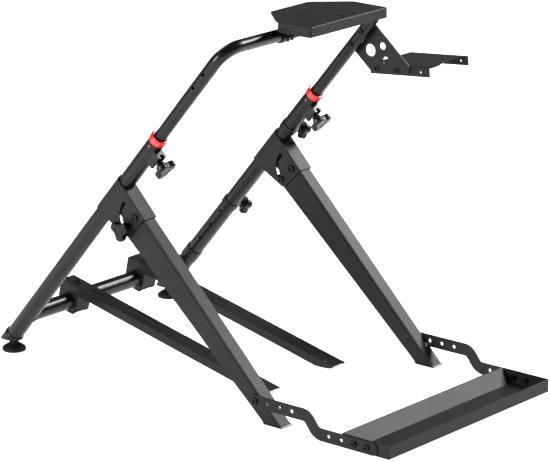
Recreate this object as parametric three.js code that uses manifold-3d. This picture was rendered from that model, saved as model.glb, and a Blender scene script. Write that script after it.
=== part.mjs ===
// Folding stand for a racing wheel, pedals and a gear shifter.
// Millimetres. +Z is up, +Y points away from the driver, +X is the driver's right.
// While it is being built, y = 0 and z = 0 is the point where the leg axes meet the floor,
// and x = 0 is the middle plane. At the end the whole stand is moved so that the origin is
// at the centre of its bounding box, on the floor.
import * as THREE from 'three';
import { mergeVertices } from 'three/addons/utils/BufferGeometryUtils.js';
import Module from 'manifold-3d';

const wasm = await Module();
wasm.setup();

// ---------------------------------------------------------------- driving dimensions
const CLEARANCE = 0.3; // between pieces that touch or slide

const LEG_SPACING = 528; // between the two leg axes
const LEG_ANGLE = 50; // degrees above the floor
const LEG_DIAMETER = 38;
const LEG_WALL = 1.6;
const LEG_START = 56; // along the leg axis, from the floor
const LEG_LENGTH = 685;

const HOOP_DIAMETER = 28;
const HOOP_WALL = 1.5;
const HOOP_HEIGHT = 1042; // from the floor to the cross bar's axis, along the leg
const HOOP_BEND = 45; // radius at the tube's axis
const HOOP_INSERT = 200; // length inside the leg

const CROSS_DIAMETER = 38;
const CROSS_STATION = 125; // along the leg axis

const COLLAR_RADIUS = 20.6;
const COLLAR_HEIGHT = 16;
const COLLAR_SLEEVE = 25;
const PEG_DROP = 11; // below the leg's upper end
const PEG_RADIUS = 2.7;

const STUD_RADIUS = 5; // threaded stud of a height knob
const STUD_DROP = 32; // below the leg's upper end
const BOSS_WIDTH = 26;
const BOSS_HEIGHT = 34;
const BOSS_REACH = 35; // from the leg axis
const BOSS_SLOT = 11;

const SHEET = 2.5; // hinge brackets
const PIVOT_STATION = 575; // hinge axis, along the leg
const PIVOT_DROP = 77; // hinge axis, below the leg axis
const BRACKET_TOP = 602;
const BRACKET_BOTTOM = 500;
const PIVOT_RADIUS = 5;
const BUSH_RADIUS = 8;
const LOCK_RADIUS = 4;
const LOCK_REACH = 42; // from the hinge axis to the lock bolt
const FOLD_ANGLE = 85; // degrees, from standing to folded against the legs

const BEAM_ANGLE = 45; // degrees above the floor
const BEAM_PLAY = 1.8; // between a beam and each cheek of its bracket
const BEAM_SHEET = 2;
const BEAM_BACK = 15; // driver's face, from the hinge axis
const BEAM_DEPTH_TOP = 68.5;
const BEAM_DEPTH_LOW = 34;
const BEAM_CAP = 4; // thickness of the plastic foot

const BAR_THICKNESS = 3; // side bars that carry the tray
const BAR_HEIGHT = 28;
const BAR_LEVEL = 48; // height of the upper run's centre line
const BAR_LOW_LEVEL = 14.3;
const BAR_HOLE_PITCH = 34;
const BAR_UPPER_RUN = 132; // from the tray hinge to the start of the bend
const BAR_BEND_RUN = 50;
const BAR_LOWER_RUN = 137;
const BAR_BOLT_RADIUS = 4;

const TRAY_DEPTH = 128;
const TRAY_HEIGHT = 30;
const TRAY_SHEET = 2;
const TRAY_RAMP = 31;
const TRAY_OVERHANG = 45; // tray front beyond the side bars' end

const RAIL_OFFSET = 113; // from the middle plane to a rail's centre
const RAIL_ANGLE = 12.34;
const RAIL_WIDTH = 44;
const RAIL_SHEET = 2;
const RAIL_SKIRT = 19.5;
const RAIL_TOP = 42.5; // top face above the cross tube's axis
const RAIL_FRONT = 32;
const RAIL_LENGTH = 633;
const RAIL_SLOT_WIDTH = 6.5;
const RAIL_SLOT_LENGTH = 232;
const RAIL_BOX_DROP = 27.5; // underside of the box around the cross tube, below its axis
const RAIL_BOX_WALL = 26; // driver's face of that box, from the tube's axis
const RAIL_BOX_CORNER = 8;
const LINER = 2.2;

const FOOT_RADIUS = 27;
const FOOT_HEIGHT = 26;
const FOOT_STEM = 4;
const FOOT_OFFSET = 30; // behind the leg's floor point
const CAP_WALL = 3;

const PLATE_WIDTH = 262;
const PLATE_FRONT = 123; // from the hoop's bar towards the driver
const PLATE_REAR = 45;
const PLATE_SIDE = 94; // straight part of each side
const PLATE_REAR_WIDTH = 128;
const PLATE_TOP = 42.5; // above the hoop's bar axis
const PLATE_SHEET = 3;
const PLATE_SKIRT = 22;

const SADDLE_OFFSET = 60; // centre of each cheek from the middle plane
const SADDLE_SHEET = 3;
const SADDLE_REAR = 17.3; // from the bar's axis, away from the driver
const SADDLE_DROP = 22.5; // lowest point of a cheek, below the bar's axis
const STRAP_WIDTH = 28;
const STRAP_EAR = 26; // from the bar's axis to the strap's bolted end

const GUSSET_SHEET = 3;
const GUSSET_TOP = 990; // along the leg
const GUSSET_BOTTOM = 900;
const GUSSET_REACH = 141; // below the leg axis
const GUSSET_BOLTS = [966, 922];

const SHIFTER_WIDTH = 150;
const SHIFTER_LENGTH = 166;
const SHIFTER_TILT = 5.5;
const SHIFTER_SKIRT = 22;
const SHIFTER_SHEET = 3;
const SHIFTER_FRONT = 790; // driver's edge, from the leg's floor point
const SHIFTER_HEIGHT = 677.5;
const SHIFTER_BOLTS = [89, 145];

const HEIGHT_KNOB_RADIUS = 27;
const LOCK_KNOB_RADIUS = 25;
const RING_KNOB_RADIUS = 22;
const KNOB_DEPTH = 17;
const RING_STATIONS = { upper: 631, lower: 355 };
const RING_WALL = 1.6;
const RING_LUG = 4.7; // seat of the knob, beyond the ring's bore
const RING_HEIGHT = 18;
const SLEEVE_RUN = [148, 183]; // thin sleeve above the right leg's joint with the cross tube
const RING_KNOB_TURN = 62; // degrees from straight below the leg towards the outside

// Number of flats that stand for a round: tubes, the hoop, plain rods and holes, small holes.
const TUBE_SIDES = 20;
const HOOP_SIDES = 16;
const ROD_SIDES = 12;
const HOLE_SIDES = 10;

// ---------------------------------------------------------------- derived values
const rad = THREE.MathUtils.degToRad;
const legX = LEG_SPACING / 2;
const legR = LEG_DIAMETER / 2;
const legBore = legR - LEG_WALL;
const LEG_END = LEG_START + LEG_LENGTH;
const hoopR = HOOP_DIAMETER / 2;
const HOOP_START = LEG_END - HOOP_INSERT;
const cheekIn = legR + CLEARANCE;
const beamHalf = cheekIn - BEAM_PLAY;
const cheekOut = cheekIn + SHEET;
const webOut = BEAM_BACK + CLEARANCE + 0.7 + SHEET;
const LEG_TURN = rad(90 - LEG_ANGLE);
const BEAM_TURN = -rad(90 - BEAM_ANGLE);
const RAIL_TURN = rad(RAIL_ANGLE);
const SHIFTER_TURN = -rad(SHIFTER_TILT);
const SIDES = { left: -1, right: 1 };

// A place (y, z) in a frame turned about X, seen from the stand's frame, and back.
function turned(y, z, angle) {
  return [y * Math.cos(angle) - z * Math.sin(angle), y * Math.sin(angle) + z * Math.cos(angle)];
}

const PIVOT = turned(-PIVOT_DROP, PIVOT_STATION, LEG_TURN);
const CROSS = turned(0, CROSS_STATION, LEG_TURN);
const BAR_AXIS = turned(0, HOOP_HEIGHT, LEG_TURN);
const SHIFTER_ORIGIN = [-SHIFTER_FRONT, SHIFTER_HEIGHT];

// Distance below the hinge axis, along the beam, of the point of given depth and height.
function beamStation(depth, height) {
  return (height - PIVOT[1] - depth * Math.sin(BEAM_TURN)) / Math.cos(BEAM_TURN);
}

const hingeDepth = (BEAM_DEPTH_LOW - 2 * BEAM_BACK) / 2;
const HINGE_STATION = beamStation(hingeDepth, BAR_LEVEL);
const hingeTurned = turned(hingeDepth, HINGE_STATION, BEAM_TURN);
const TRAY_HINGE = [PIVOT[0] + hingeTurned[0], PIVOT[1] + hingeTurned[1]];

// ---------------------------------------------------------------- solids
function toSolid(geometry) {
  geometry.deleteAttribute('normal');
  geometry.deleteAttribute('uv');
  const merged = mergeVertices(geometry, 1e-4);
  const vertProperties = new Float32Array(merged.attributes.position.array);
  const triVerts = new Uint32Array(merged.index.array);
  return new wasm.Manifold(new wasm.Mesh({ numProp: 3, vertProperties, triVerts }));
}

function join(...solids) {
  return solids.reduce((whole, piece) => whole.add(piece));
}

function cut(whole, ...tools) {
  return tools.reduce((rest, tool) => rest.subtract(tool), whole);
}

function box(x0, x1, y0, y1, z0, z1) {
  const geometry = new THREE.BoxGeometry(x1 - x0, y1 - y0, z1 - z0);
  return toSolid(geometry.translate((x0 + x1) / 2, (y0 + y1) / 2, (z0 + z1) / 2));
}

// A shape drawn in (y, z), pushed along X; and one drawn in (x, y), pushed along Z.
const ONTO_X = new THREE.Matrix4().makeBasis(
  new THREE.Vector3(0, 1, 0),
  new THREE.Vector3(0, 0, 1),
  new THREE.Vector3(1, 0, 0),
);

function slabX(shape, x0, x1, curveSegments = 3) {
  const geometry = new THREE.ExtrudeGeometry(shape, { depth: x1 - x0, bevelEnabled: false, curveSegments });
  return toSolid(geometry.applyMatrix4(ONTO_X).translate(x0, 0, 0));
}

function slabZ(shape, z0, z1, curveSegments = 3) {
  const geometry = new THREE.ExtrudeGeometry(shape, { depth: z1 - z0, bevelEnabled: false, curveSegments });
  return toSolid(geometry.translate(0, 0, z0));
}

function rodX(radius, x0, x1, y, z, sides = ROD_SIDES) {
  const geometry = new THREE.CylinderGeometry(radius, radius, x1 - x0, sides);
  return toSolid(geometry.rotateZ(-Math.PI / 2).translate((x0 + x1) / 2, y, z));
}

function rodY(radius, y0, y1, x, z, sides = ROD_SIDES) {
  const geometry = new THREE.CylinderGeometry(radius, radius, y1 - y0, sides);
  return toSolid(geometry.translate(x, (y0 + y1) / 2, z));
}

function rodZ(radius, z0, z1, x, y, sides = ROD_SIDES) {
  const geometry = new THREE.CylinderGeometry(radius, radius, z1 - z0, sides);
  return toSolid(geometry.rotateX(Math.PI / 2).translate(x, y, (z0 + z1) / 2));
}

// A body turned from a profile of [radius, height] points, with its axis along Z.
function turnedBody(profile, sides = TUBE_SIDES) {
  const points = profile.map(([radius, height]) => new THREE.Vector2(radius, height));
  return new THREE.LatheGeometry(points, sides).rotateX(Math.PI / 2);
}

function ringZ(outer, inner, z0, z1, x, y, sides = TUBE_SIDES) {
  const profile = [[inner, z0], [outer, z0], [outer, z1], [inner, z1], [inner, z0]];
  return toSolid(turnedBody(profile, sides).translate(x, y, 0));
}

// A closed outline through corner points [u, v, radius], each corner rounded.
function outline(corners) {
  const shape = new THREE.Shape();
  const at = (index) => new THREE.Vector2(...corners[(index + corners.length) % corners.length]);
  corners.forEach(([u, v, radius = 0], index) => {
    const corner = new THREE.Vector2(u, v);
    const before = at(index - 1).sub(corner).normalize().multiplyScalar(radius).add(corner);
    const after = at(index + 1).sub(corner).normalize().multiplyScalar(radius).add(corner);
    if (index === 0) shape.moveTo(before.x, before.y);
    else shape.lineTo(before.x, before.y);
    if (radius > 0) shape.quadraticCurveTo(u, v, after.x, after.y);
  });
  shape.closePath();
  return shape;
}

// A slot with round ends between two points.
function slotShape(u0, v0, u1, v1, width) {
  const half = width / 2;
  const heading = Math.atan2(v1 - v0, u1 - u0);
  const shape = new THREE.Shape();
  shape.absarc(u1, v1, half, heading - Math.PI / 2, heading + Math.PI / 2, false);
  shape.absarc(u0, v0, half, heading + Math.PI / 2, heading + 1.5 * Math.PI, false);
  shape.closePath();
  return shape;
}

// ---------------------------------------------------------------- scene helpers
const FINISHES = {
  tube: { color: 0x161617, roughness: 0.34, metalness: 0.35 },
  powder: { color: 0x3a3b3c, roughness: 0.72, metalness: 0.1 },
  plastic: { color: 0x141415, roughness: 0.5, metalness: 0 },
  rubber: { color: 0x101011, roughness: 0.8, metalness: 0 },
  red: { color: 0xc4121c, roughness: 0.3, metalness: 0 },
  bolt: { color: 0x1c1c1e, roughness: 0.4, metalness: 0.8 },
};

const stand = new THREE.Group();

function frame(y, z, angle) {
  const group = new THREE.Group();
  group.position.set(0, y, z);
  group.rotation.x = angle;
  stand.add(group);
  return group;
}

const legFrame = frame(0, 0, LEG_TURN);
const beamFrame = frame(PIVOT[0], PIVOT[1], BEAM_TURN);
const railFrame = frame(CROSS[0], CROSS[1], RAIL_TURN);
const plateFrame = frame(BAR_AXIS[0], BAR_AXIS[1], 0);
const shifterFrame = frame(SHIFTER_ORIGIN[0], SHIFTER_ORIGIN[1], SHIFTER_TURN);
const trayFrame = frame(TRAY_HINGE[0], TRAY_HINGE[1], 0);

function addPiece(parent, name, finish, solid) {
  const mesh = solid.getMesh();
  const geometry = new THREE.BufferGeometry();
  geometry.setAttribute('position', new THREE.BufferAttribute(mesh.vertProperties, 3));
  geometry.setIndex(new THREE.BufferAttribute(mesh.triVerts, 1));
  geometry.computeVertexNormals();
  const piece = new THREE.Mesh(geometry, new THREE.MeshStandardMaterial(FINISHES[finish]));
  piece.name = name;
  parent.add(piece);
  return piece;
}

// ---------------------------------------------------------------- legs
function legTube(side) {
  const x = side * legX;
  const tube = ringZ(legR, legBore, LEG_START, LEG_END, x, 0);
  const pegHoles = rodX(PEG_RADIUS + CLEARANCE, x - legR - 1, x + legR + 1, 0, LEG_END - PEG_DROP);
  const studHole = rodY(STUD_RADIUS + CLEARANCE, -legR - 1, -legBore + 2, x, LEG_END - STUD_DROP);
  return cut(tube, pegHoles, studHole);
}

function crossTube() {
  const outer = rodX(CROSS_DIAMETER / 2, -legX, legX, 0, CROSS_STATION, TUBE_SIDES);
  const bore = rodX(CROSS_DIAMETER / 2 - LEG_WALL, -legX, legX, 0, CROSS_STATION, TUBE_SIDES);
  const saddles = [-1, 1].map((side) =>
    rodZ(legR + CLEARANCE, CROSS_STATION - 60, CROSS_STATION + 60, side * legX, 0, TUBE_SIDES));
  return cut(outer, bore, ...saddles);
}

// Plastic cap on the leg's lower end, cut level, with the socket of the levelling foot.
function legEndCap(side) {
  const x = side * legX;
  const radius = legR + CAP_WALL;
  const plugLength = 24;
  const body = new THREE.CylinderGeometry(radius, radius, LEG_START - CLEARANCE, TUBE_SIDES);
  body.rotateX(Math.PI / 2).translate(x, 0, (LEG_START - CLEARANCE) / 2);
  const plug = new THREE.CylinderGeometry(legBore - CLEARANCE, legBore - CLEARANCE, plugLength, TUBE_SIDES);
  plug.rotateX(Math.PI / 2).translate(x, 0, LEG_START - CLEARANCE + plugLength / 2 - 1);
  const inStand = (geometry) => toSolid(geometry.rotateX(LEG_TURN));
  const below = box(x - 60, x + 60, -120, 120, -60, FOOT_HEIGHT + 1.5);
  const socket = rodZ(FOOT_STEM + CLEARANCE, -10, FOOT_HEIGHT + 21, x, -FOOT_OFFSET);
  return cut(join(inStand(body), inStand(plug)), below, socket);
}

function levellingFoot(side) {
  const rim = 5;
  const neck = 10;
  const stemTop = FOOT_HEIGHT + 20;
  const profile = [[0, 0], [FOOT_RADIUS - 2, 0], [FOOT_RADIUS, 2], [FOOT_RADIUS, rim]];
  const steps = 5;
  for (let step = 1; step <= steps; step += 1) {
    const angle = (step / steps) * (Math.PI / 2);
    const radius = neck + (FOOT_RADIUS - neck) * Math.cos(angle) ** 0.8;
    profile.push([radius, rim + (FOOT_HEIGHT - 6 - rim) * Math.sin(angle)]);
  }
  profile.push([neck, FOOT_HEIGHT], [FOOT_STEM, FOOT_HEIGHT], [FOOT_STEM, stemTop], [0, stemTop]);
  return toSolid(turnedBody(profile).translate(side * legX, -FOOT_OFFSET, 0));
}

// Red bushing between leg and hoop: a flange on top, a sleeve inside and two locating pegs.
function collar(side) {
  const x = side * legX;
  const bore = hoopR + CLEARANCE;
  const bottom = LEG_END + CLEARANCE;
  const flange = ringZ(COLLAR_RADIUS, bore, bottom, bottom + COLLAR_HEIGHT, x, 0);
  const sleeve = ringZ(legBore - CLEARANCE, bore, LEG_END - COLLAR_SLEEVE, bottom + 1, x, 0);
  const pegZ = LEG_END - PEG_DROP;
  const pegs = [-1, 1].map((way) => {
    const ends = [way * (bore + 1), way * (legR + 0.4)].sort((a, b) => a - b);
    return rodX(PEG_RADIUS, x + ends[0], x + ends[1], 0, pegZ, HOLE_SIDES);
  });
  return join(flange, sleeve, ...pegs);
}

// Welded nut block under the leg, with a slot across its outer end.
function clampBoss(side) {
  const x = side * legX;
  const half = BOSS_WIDTH / 2;
  const z = LEG_END - STUD_DROP;
  const block = box(x - half, x + half, -BOSS_REACH, -legR / 2, z - BOSS_HEIGHT / 2, z + BOSS_HEIGHT / 2);
  const leg = rodZ(legR + CLEARANCE, z - 40, z + 40, x, 0, TUBE_SIDES);
  const slot = box(x - BOSS_SLOT / 2, x + BOSS_SLOT / 2, -BOSS_REACH - 1, -legR - 7, z - 40, z + 40);
  const hole = rodY(STUD_RADIUS + CLEARANCE, -BOSS_REACH - 1, 0, x, z);
  return cut(block, leg, slot, hole);
}

// ---------------------------------------------------------------- knobs
// Three-lobed hand knob. Its axis is Z, its back is at z = 0 and its hub points to -Z.
function knobShape(radius) {
  const lobe = radius * 0.17;
  const shape = new THREE.Shape();
  const steps = 24;
  for (let step = 0; step < steps; step += 1) {
    const angle = (step / steps) * 2 * Math.PI;
    const reach = radius - lobe + lobe * Math.cos(3 * angle);
    const point = [reach * Math.cos(angle), reach * Math.sin(angle)];
    if (step === 0) shape.moveTo(...point);
    else shape.lineTo(...point);
  }
  shape.closePath();
  return shape;
}

function knobBody(radius) {
  const bevel = 2.5;
  const settings = {
    depth: KNOB_DEPTH - 2 * bevel,
    bevelThickness: bevel,
    bevelSize: bevel,
    bevelOffset: -bevel,
    bevelSegments: 1,
  };
  const lobes = new THREE.ExtrudeGeometry(knobShape(radius), settings).translate(0, 0, bevel);
  const hub = turnedBody([[0, -6], [8.5, -6], [12, 1], [0, 1]], 12);
  return [lobes, hub];
}

// Places a Z-axis knob so that its axis points along `direction` from `origin`.
function placedKnob(parts, origin, direction) {
  const turn = new THREE.Quaternion().setFromUnitVectors(new THREE.Vector3(0, 0, 1), direction);
  const place = new THREE.Matrix4().compose(origin, turn, new THREE.Vector3(1, 1, 1));
  return join(...parts.map((geometry) => toSolid(geometry.applyMatrix4(place))));
}

function stud(radius, from, to) {
  return turnedBody([[0, from], [radius, from], [radius, to], [0, to]], ROD_SIDES);
}

function heightKnob(side) {
  const hub = BOSS_REACH + 10;
  const origin = new THREE.Vector3(side * legX, -hub, LEG_END - STUD_DROP);
  const tip = hub - hoopR - CLEARANCE;
  const parts = [...knobBody(HEIGHT_KNOB_RADIUS), stud(STUD_RADIUS, -tip, 1)];
  return placedKnob(parts, origin, new THREE.Vector3(0, -1, 0));
}

// Clamp ring around the right leg, and its knob.
const ringTurn = rad(RING_KNOB_TURN);
const ringOut = new THREE.Vector3(Math.sin(ringTurn), -Math.cos(ringTurn), 0);
const ringStud = 3.5;

function clampRing(station) {
  const half = RING_HEIGHT / 2;
  const root = cheekIn + CLEARANCE;
  const seat = cheekIn + RING_LUG;
  const ring = ringZ(cheekIn + RING_WALL, cheekIn, station - half, station + half, legX, 0);
  const lug = turnedBody([[0, root], [6.5, root], [6.5, seat], [0, seat]], ROD_SIDES);
  const hole = stud(ringStud + CLEARANCE, legR - 1, seat + 1);
  const origin = new THREE.Vector3(legX, 0, station);
  return cut(join(ring, placedKnob([lug], origin, ringOut)), placedKnob([hole], origin, ringOut));
}

function ringKnob(station) {
  const hub = cheekIn + RING_LUG + CLEARANCE + 6;
  const origin = ringOut.clone().multiplyScalar(hub).add(new THREE.Vector3(legX, 0, station));
  const parts = [...knobBody(RING_KNOB_RADIUS), stud(ringStud, legR + CLEARANCE - hub, 1)];
  return placedKnob(parts, origin, ringOut);
}

// ---------------------------------------------------------------- hinge brackets
// A place given from the hinge axis along the beam and across it, in the leg's frame.
function fromBeam(along, depth) {
  const [y, z] = turned(depth, -along, BEAM_TURN - LEG_TURN);
  return [y - PIVOT_DROP, z + PIVOT_STATION];
}

function lockSlot() {
  const half = LOCK_RADIUS + CLEARANCE;
  const start = BEAM_TURN - LEG_TURN - rad(1.5);
  const end = start + rad(FOLD_ANGLE + 3);
  const [y, z] = [-PIVOT_DROP, PIVOT_STATION];
  const endOf = (angle) => [y + LOCK_REACH * Math.cos(angle), z + LOCK_REACH * Math.sin(angle)];
  const shape = new THREE.Shape();
  shape.absarc(y, z, LOCK_REACH + half, start, end, false);
  shape.absarc(...endOf(end), half, end, end + Math.PI, false);
  shape.absarc(y, z, LOCK_REACH - half, end, start, true);
  shape.absarc(...endOf(start), half, start + Math.PI, start + 2 * Math.PI, false);
  shape.closePath();
  return shape;
}

function hingeBracket(side) {
  const x = side * legX;
  const lowEnd = 18;
  const reach = PIVOT_DROP + lowEnd + webOut;
  const wrap = ringZ(cheekOut, cheekIn, BRACKET_BOTTOM - 40, BRACKET_TOP + 40, x, 0);
  const halfWrap = wrap.intersect(box(x - 60, x + 60, 0, 60, BRACKET_BOTTOM - 60, BRACKET_TOP + 60));
  const cheeks = [-1, 1].map((way) => {
    const ends = [x + way * cheekIn, x + way * cheekOut].sort((a, b) => a - b);
    return box(ends[0], ends[1], -reach - 10, 0.01, BRACKET_BOTTOM - 40, BRACKET_TOP + 40);
  });
  const profile = outline([
    [cheekOut + 1, BRACKET_TOP],
    [-5, BRACKET_TOP],
    fromBeam(lowEnd, -webOut),
    [...fromBeam(lowEnd, LOCK_REACH + 9), 8],
    [cheekOut + 1, BRACKET_BOTTOM],
  ]);
  const sheetWork = join(halfWrap, ...cheeks).intersect(slabX(profile, x - 60, x + 60));
  const web = outline([
    [-5, BRACKET_TOP],
    fromBeam(lowEnd, -webOut),
    fromBeam(lowEnd, -webOut + SHEET),
    [-5, BRACKET_TOP - SHEET],
  ]);
  const leg = rodZ(cheekIn, BRACKET_BOTTOM - 60, BRACKET_TOP + 60, x, 0, TUBE_SIDES);
  const pivotHole = rodX(PIVOT_RADIUS + CLEARANCE, x - 60, x + 60, -PIVOT_DROP, PIVOT_STATION);
  const slot = slabX(lockSlot(), x - 60, x + 60, 5);
  return cut(join(sheetWork, slabX(web, x - cheekOut, x + cheekOut)), leg, pivotHole, slot);
}

// Hinge bolt with its head on the -X side, and its nut.
function pivotBolt(side) {
  const x = side * legX;
  const seat = cheekOut + CLEARANCE;
  const head = rodX(9, x - seat - 5, x - seat, 0, 0);
  const shank = rodX(PIVOT_RADIUS, x - seat - 1, x + seat + 10, 0, 0);
  return join(head, shank);
}

function pivotNut(side) {
  const x = side * legX + cheekOut + CLEARANCE;
  const hex = rodX(9.5, x + 2, x + 9, 0, 0, 6);
  const washer = rodX(10.5, x, x + 2.5, 0, 0);
  return cut(join(hex, washer), rodX(PIVOT_RADIUS + CLEARANCE, x - 1, x + 12, 0, 0));
}

// ---------------------------------------------------------------- beams
function beamProfile(top) {
  const taperEnd = beamStation(BEAM_DEPTH_LOW - BEAM_BACK, BEAM_CAP);
  const backEnd = beamStation(-BEAM_BACK, BEAM_CAP);
  const depth = BEAM_DEPTH_TOP - BEAM_BACK;
  return outline([
    [-BEAM_BACK, top, BEAM_BACK * 0.9],
    [depth - 1, top, 8],
    [depth, 0],
    [BEAM_DEPTH_LOW - BEAM_BACK, taperEnd],
    [-BEAM_BACK, backEnd],
  ]);
}

function beam(side) {
  const x = side * legX;
  const body = slabX(beamProfile(14), x - beamHalf, x + beamHalf);
  const inside = beamHalf - BEAM_SHEET;
  const hollow = box(x - inside, x + inside, -BEAM_BACK + BEAM_SHEET, BEAM_DEPTH_TOP, -900, 60);
  const bushHole = rodX(BUSH_RADIUS + CLEARANCE, x - 60, x + 60, 0, 0);
  const lockHole = rodX(LOCK_RADIUS + CLEARANCE, x - 60, x + 60, LOCK_REACH, 0);
  const barHole = rodX(BAR_BOLT_RADIUS + CLEARANCE, x - 60, x + 60, hingeDepth, HINGE_STATION);
  const screwZ = beamStation(-BEAM_BACK, BEAM_CAP) + 20;
  const screwHoles = [-1, 1].map((way) => rodY(2.3, -BEAM_BACK - 1, -BEAM_BACK + 5, x + way * 6, screwZ, 8));
  return cut(body, hollow, bushHole, lockHole, barHole, ...screwHoles);
}

// Plastic foot of a beam: a level sole and a plug that fills the channel's end.
function beamFoot(side) {
  const x = side * legX;
  const flare = 1;
  const inside = beamHalf - BEAM_SHEET - CLEARANCE;
  const front = BEAM_DEPTH_LOW - BEAM_BACK;
  const at = (depth, height) => [depth, beamStation(depth, height)];
  const sole = outline([
    at(-BEAM_BACK - flare, 0),
    at(-BEAM_BACK - flare, BEAM_CAP - CLEARANCE),
    at(front + flare, BEAM_CAP - CLEARANCE),
    at(front + flare, 0),
  ]);
  const plug = outline([
    at(-BEAM_BACK + BEAM_SHEET + CLEARANCE, BEAM_CAP - 1),
    at(-BEAM_BACK + BEAM_SHEET + CLEARANCE, BEAM_CAP + 12),
    at(front - 1, BEAM_CAP + 12),
    at(front - 1, BEAM_CAP - 1),
  ]);
  const soleSlab = slabX(sole, x - beamHalf - flare, x + beamHalf + flare);
  return join(soleSlab, slabX(plug, x - inside, x + inside));
}

function pivotBush(side) {
  const x = side * legX;
  const half = cheekIn - CLEARANCE - 0.1;
  const body = rodX(BUSH_RADIUS, x - half, x + half, 0, 0);
  return cut(body, rodX(PIVOT_RADIUS + CLEARANCE, x - half - 1, x + half + 1, 0, 0));
}

// The lock bolt's head is on the inner cheek, and its shank ends inside the outer knob.
function lockBolt(side) {
  const x = side * legX;
  const seat = cheekOut + CLEARANCE;
  const along = (from, to) => [x + side * from, x + side * to].sort((a, b) => a - b);
  const head = rodX(8, ...along(-seat - 5, -seat), LOCK_REACH, 0);
  const shank = rodX(LOCK_RADIUS, ...along(-seat - 1, seat + 14), LOCK_REACH, 0);
  return join(head, shank);
}

function lockKnob(side) {
  const hub = cheekOut + CLEARANCE + 6;
  const origin = new THREE.Vector3(side * (legX + hub), LOCK_REACH, 0);
  const out = new THREE.Vector3(side, 0, 0);
  const bore = stud(LOCK_RADIUS + CLEARANCE, -10, 9);
  return cut(placedKnob(knobBody(LOCK_KNOB_RADIUS), origin, out), placedKnob([bore], origin, out));
}

// ---------------------------------------------------------------- side bars and tray
// Centre line of a side bar from the tray hinge towards the driver, as points with headings.
function barCentreLine() {
  const drop = BAR_LEVEL - BAR_LOW_LEVEL;
  const slope = rad(52);
  const radius = (BAR_BEND_RUN - drop / Math.tan(slope)) / (2 * Math.tan(slope / 2));
  const steps = 5;
  const line = [[0, 0, 0]];
  const start = BAR_UPPER_RUN;
  for (let step = 0; step <= steps; step += 1) {
    const angle = (step / steps) * slope;
    line.push([start + radius * Math.sin(angle), -radius * (1 - Math.cos(angle)), angle]);
  }
  const end = start + BAR_BEND_RUN;
  for (let step = steps; step >= 0; step -= 1) {
    const angle = (step / steps) * slope;
    line.push([end - radius * Math.sin(angle), -drop + radius * (1 - Math.cos(angle)), angle]);
  }
  line.push([end + BAR_LOWER_RUN, -drop, 0]);
  return line;
}

function barShape() {
  const half = BAR_HEIGHT / 2;
  const line = barCentreLine();
  const edge = (way) => line.map(([run, height, angle]) =>
    [-run - way * half * Math.sin(angle), height + way * half * Math.cos(angle)]);
  const shape = new THREE.Shape();
  const last = line[line.length - 1];
  shape.absarc(0, 0, half, -Math.PI / 2, Math.PI / 2, false);
  edge(1).forEach(([y, z]) => shape.lineTo(y, z));
  shape.absarc(-last[0], last[1], half, Math.PI / 2, 1.5 * Math.PI, false);
  edge(-1).reverse().forEach(([y, z]) => shape.lineTo(y, z));
  return shape;
}

const barIn = legX + beamHalf + CLEARANCE;
const barOut = barIn + BAR_THICKNESS;
const barEnd = BAR_UPPER_RUN + BAR_BEND_RUN + BAR_LOWER_RUN;
const barDrop = BAR_LEVEL - BAR_LOW_LEVEL;
const trayBoltRuns = [barEnd - 14, barEnd - 14 - BAR_HOLE_PITCH];

function sideBar(side) {
  const [x0, x1] = [side * barIn, side * barOut].sort((a, b) => a - b);
  const hole = (run, drop, radius) => rodX(radius, x0 - 1, x1 + 1, -run, -drop, HOLE_SIDES);
  const upper = [0, 1, 2, 3].map((step) => hole(step * BAR_HOLE_PITCH, 0, BAR_BOLT_RADIUS + CLEARANCE));
  const lower = [2, 3].map((step) => hole(barEnd - 14 - step * BAR_HOLE_PITCH, barDrop, BAR_BOLT_RADIUS));
  const bolts = trayBoltRuns.map((run) => hole(run, barDrop, BAR_BOLT_RADIUS + CLEARANCE));
  return cut(slabX(barShape(), x0, x1), ...upper, ...lower, ...bolts);
}

// Hinge bolt of the tray: head outside the bar, nut inside the beam's channel.
function trayHingeBolt(side) {
  const along = (from, to) => [side * from, side * to].sort((a, b) => a - b);
  const head = rodX(7.5, ...along(barOut + CLEARANCE, barOut + 4.5), 0, 0);
  const shank = rodX(BAR_BOLT_RADIUS, ...along(legX - beamHalf - 6, barOut + 2), 0, 0);
  return join(head, shank);
}

const trayFront = -(barEnd + TRAY_OVERHANG);
const trayRear = trayFront + TRAY_DEPTH;
const trayFloor = -BAR_LEVEL;

function tray() {
  const half = legX + beamHalf;
  const top = trayFloor + TRAY_HEIGHT;
  const across = TRAY_SHEET / Math.cos(Math.atan2(TRAY_RAMP, TRAY_HEIGHT));
  const section = outline([
    [trayFront, trayFloor, 1],
    [trayRear - TRAY_RAMP, trayFloor],
    [trayRear, top],
    [trayRear - across, top],
    [trayRear - TRAY_RAMP - across + 1, trayFloor + TRAY_SHEET],
    [trayFront + TRAY_SHEET, trayFloor + TRAY_SHEET],
    [trayFront + TRAY_SHEET, top],
    [trayFront, top],
  ]);
  const end = outline([
    [trayFront, trayFloor, 1],
    [trayRear - TRAY_RAMP, trayFloor],
    [trayRear, top],
    [trayFront, top],
  ]);
  const ends = [-1, 1].map((way) => {
    const [x0, x1] = [way * (half - TRAY_SHEET), way * half].sort((a, b) => a - b);
    return slabX(end, x0, x1);
  });
  const holes = trayBoltRuns.map((run) =>
    rodX(BAR_BOLT_RADIUS + CLEARANCE, -half - 5, half + 5, -run, -barDrop));
  return cut(join(slabX(section, -half, half), ...ends), ...holes);
}

function trayBolt(side, run) {
  const along = (from, to) => [side * from, side * to].sort((a, b) => a - b);
  const head = rodX(7.5, ...along(barOut + CLEARANCE, barOut + 4.5), -run, -barDrop);
  const shank = rodX(BAR_BOLT_RADIUS, ...along(legX + beamHalf - 9, barOut + 2), -run, -barDrop);
  return join(head, shank);
}

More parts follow.
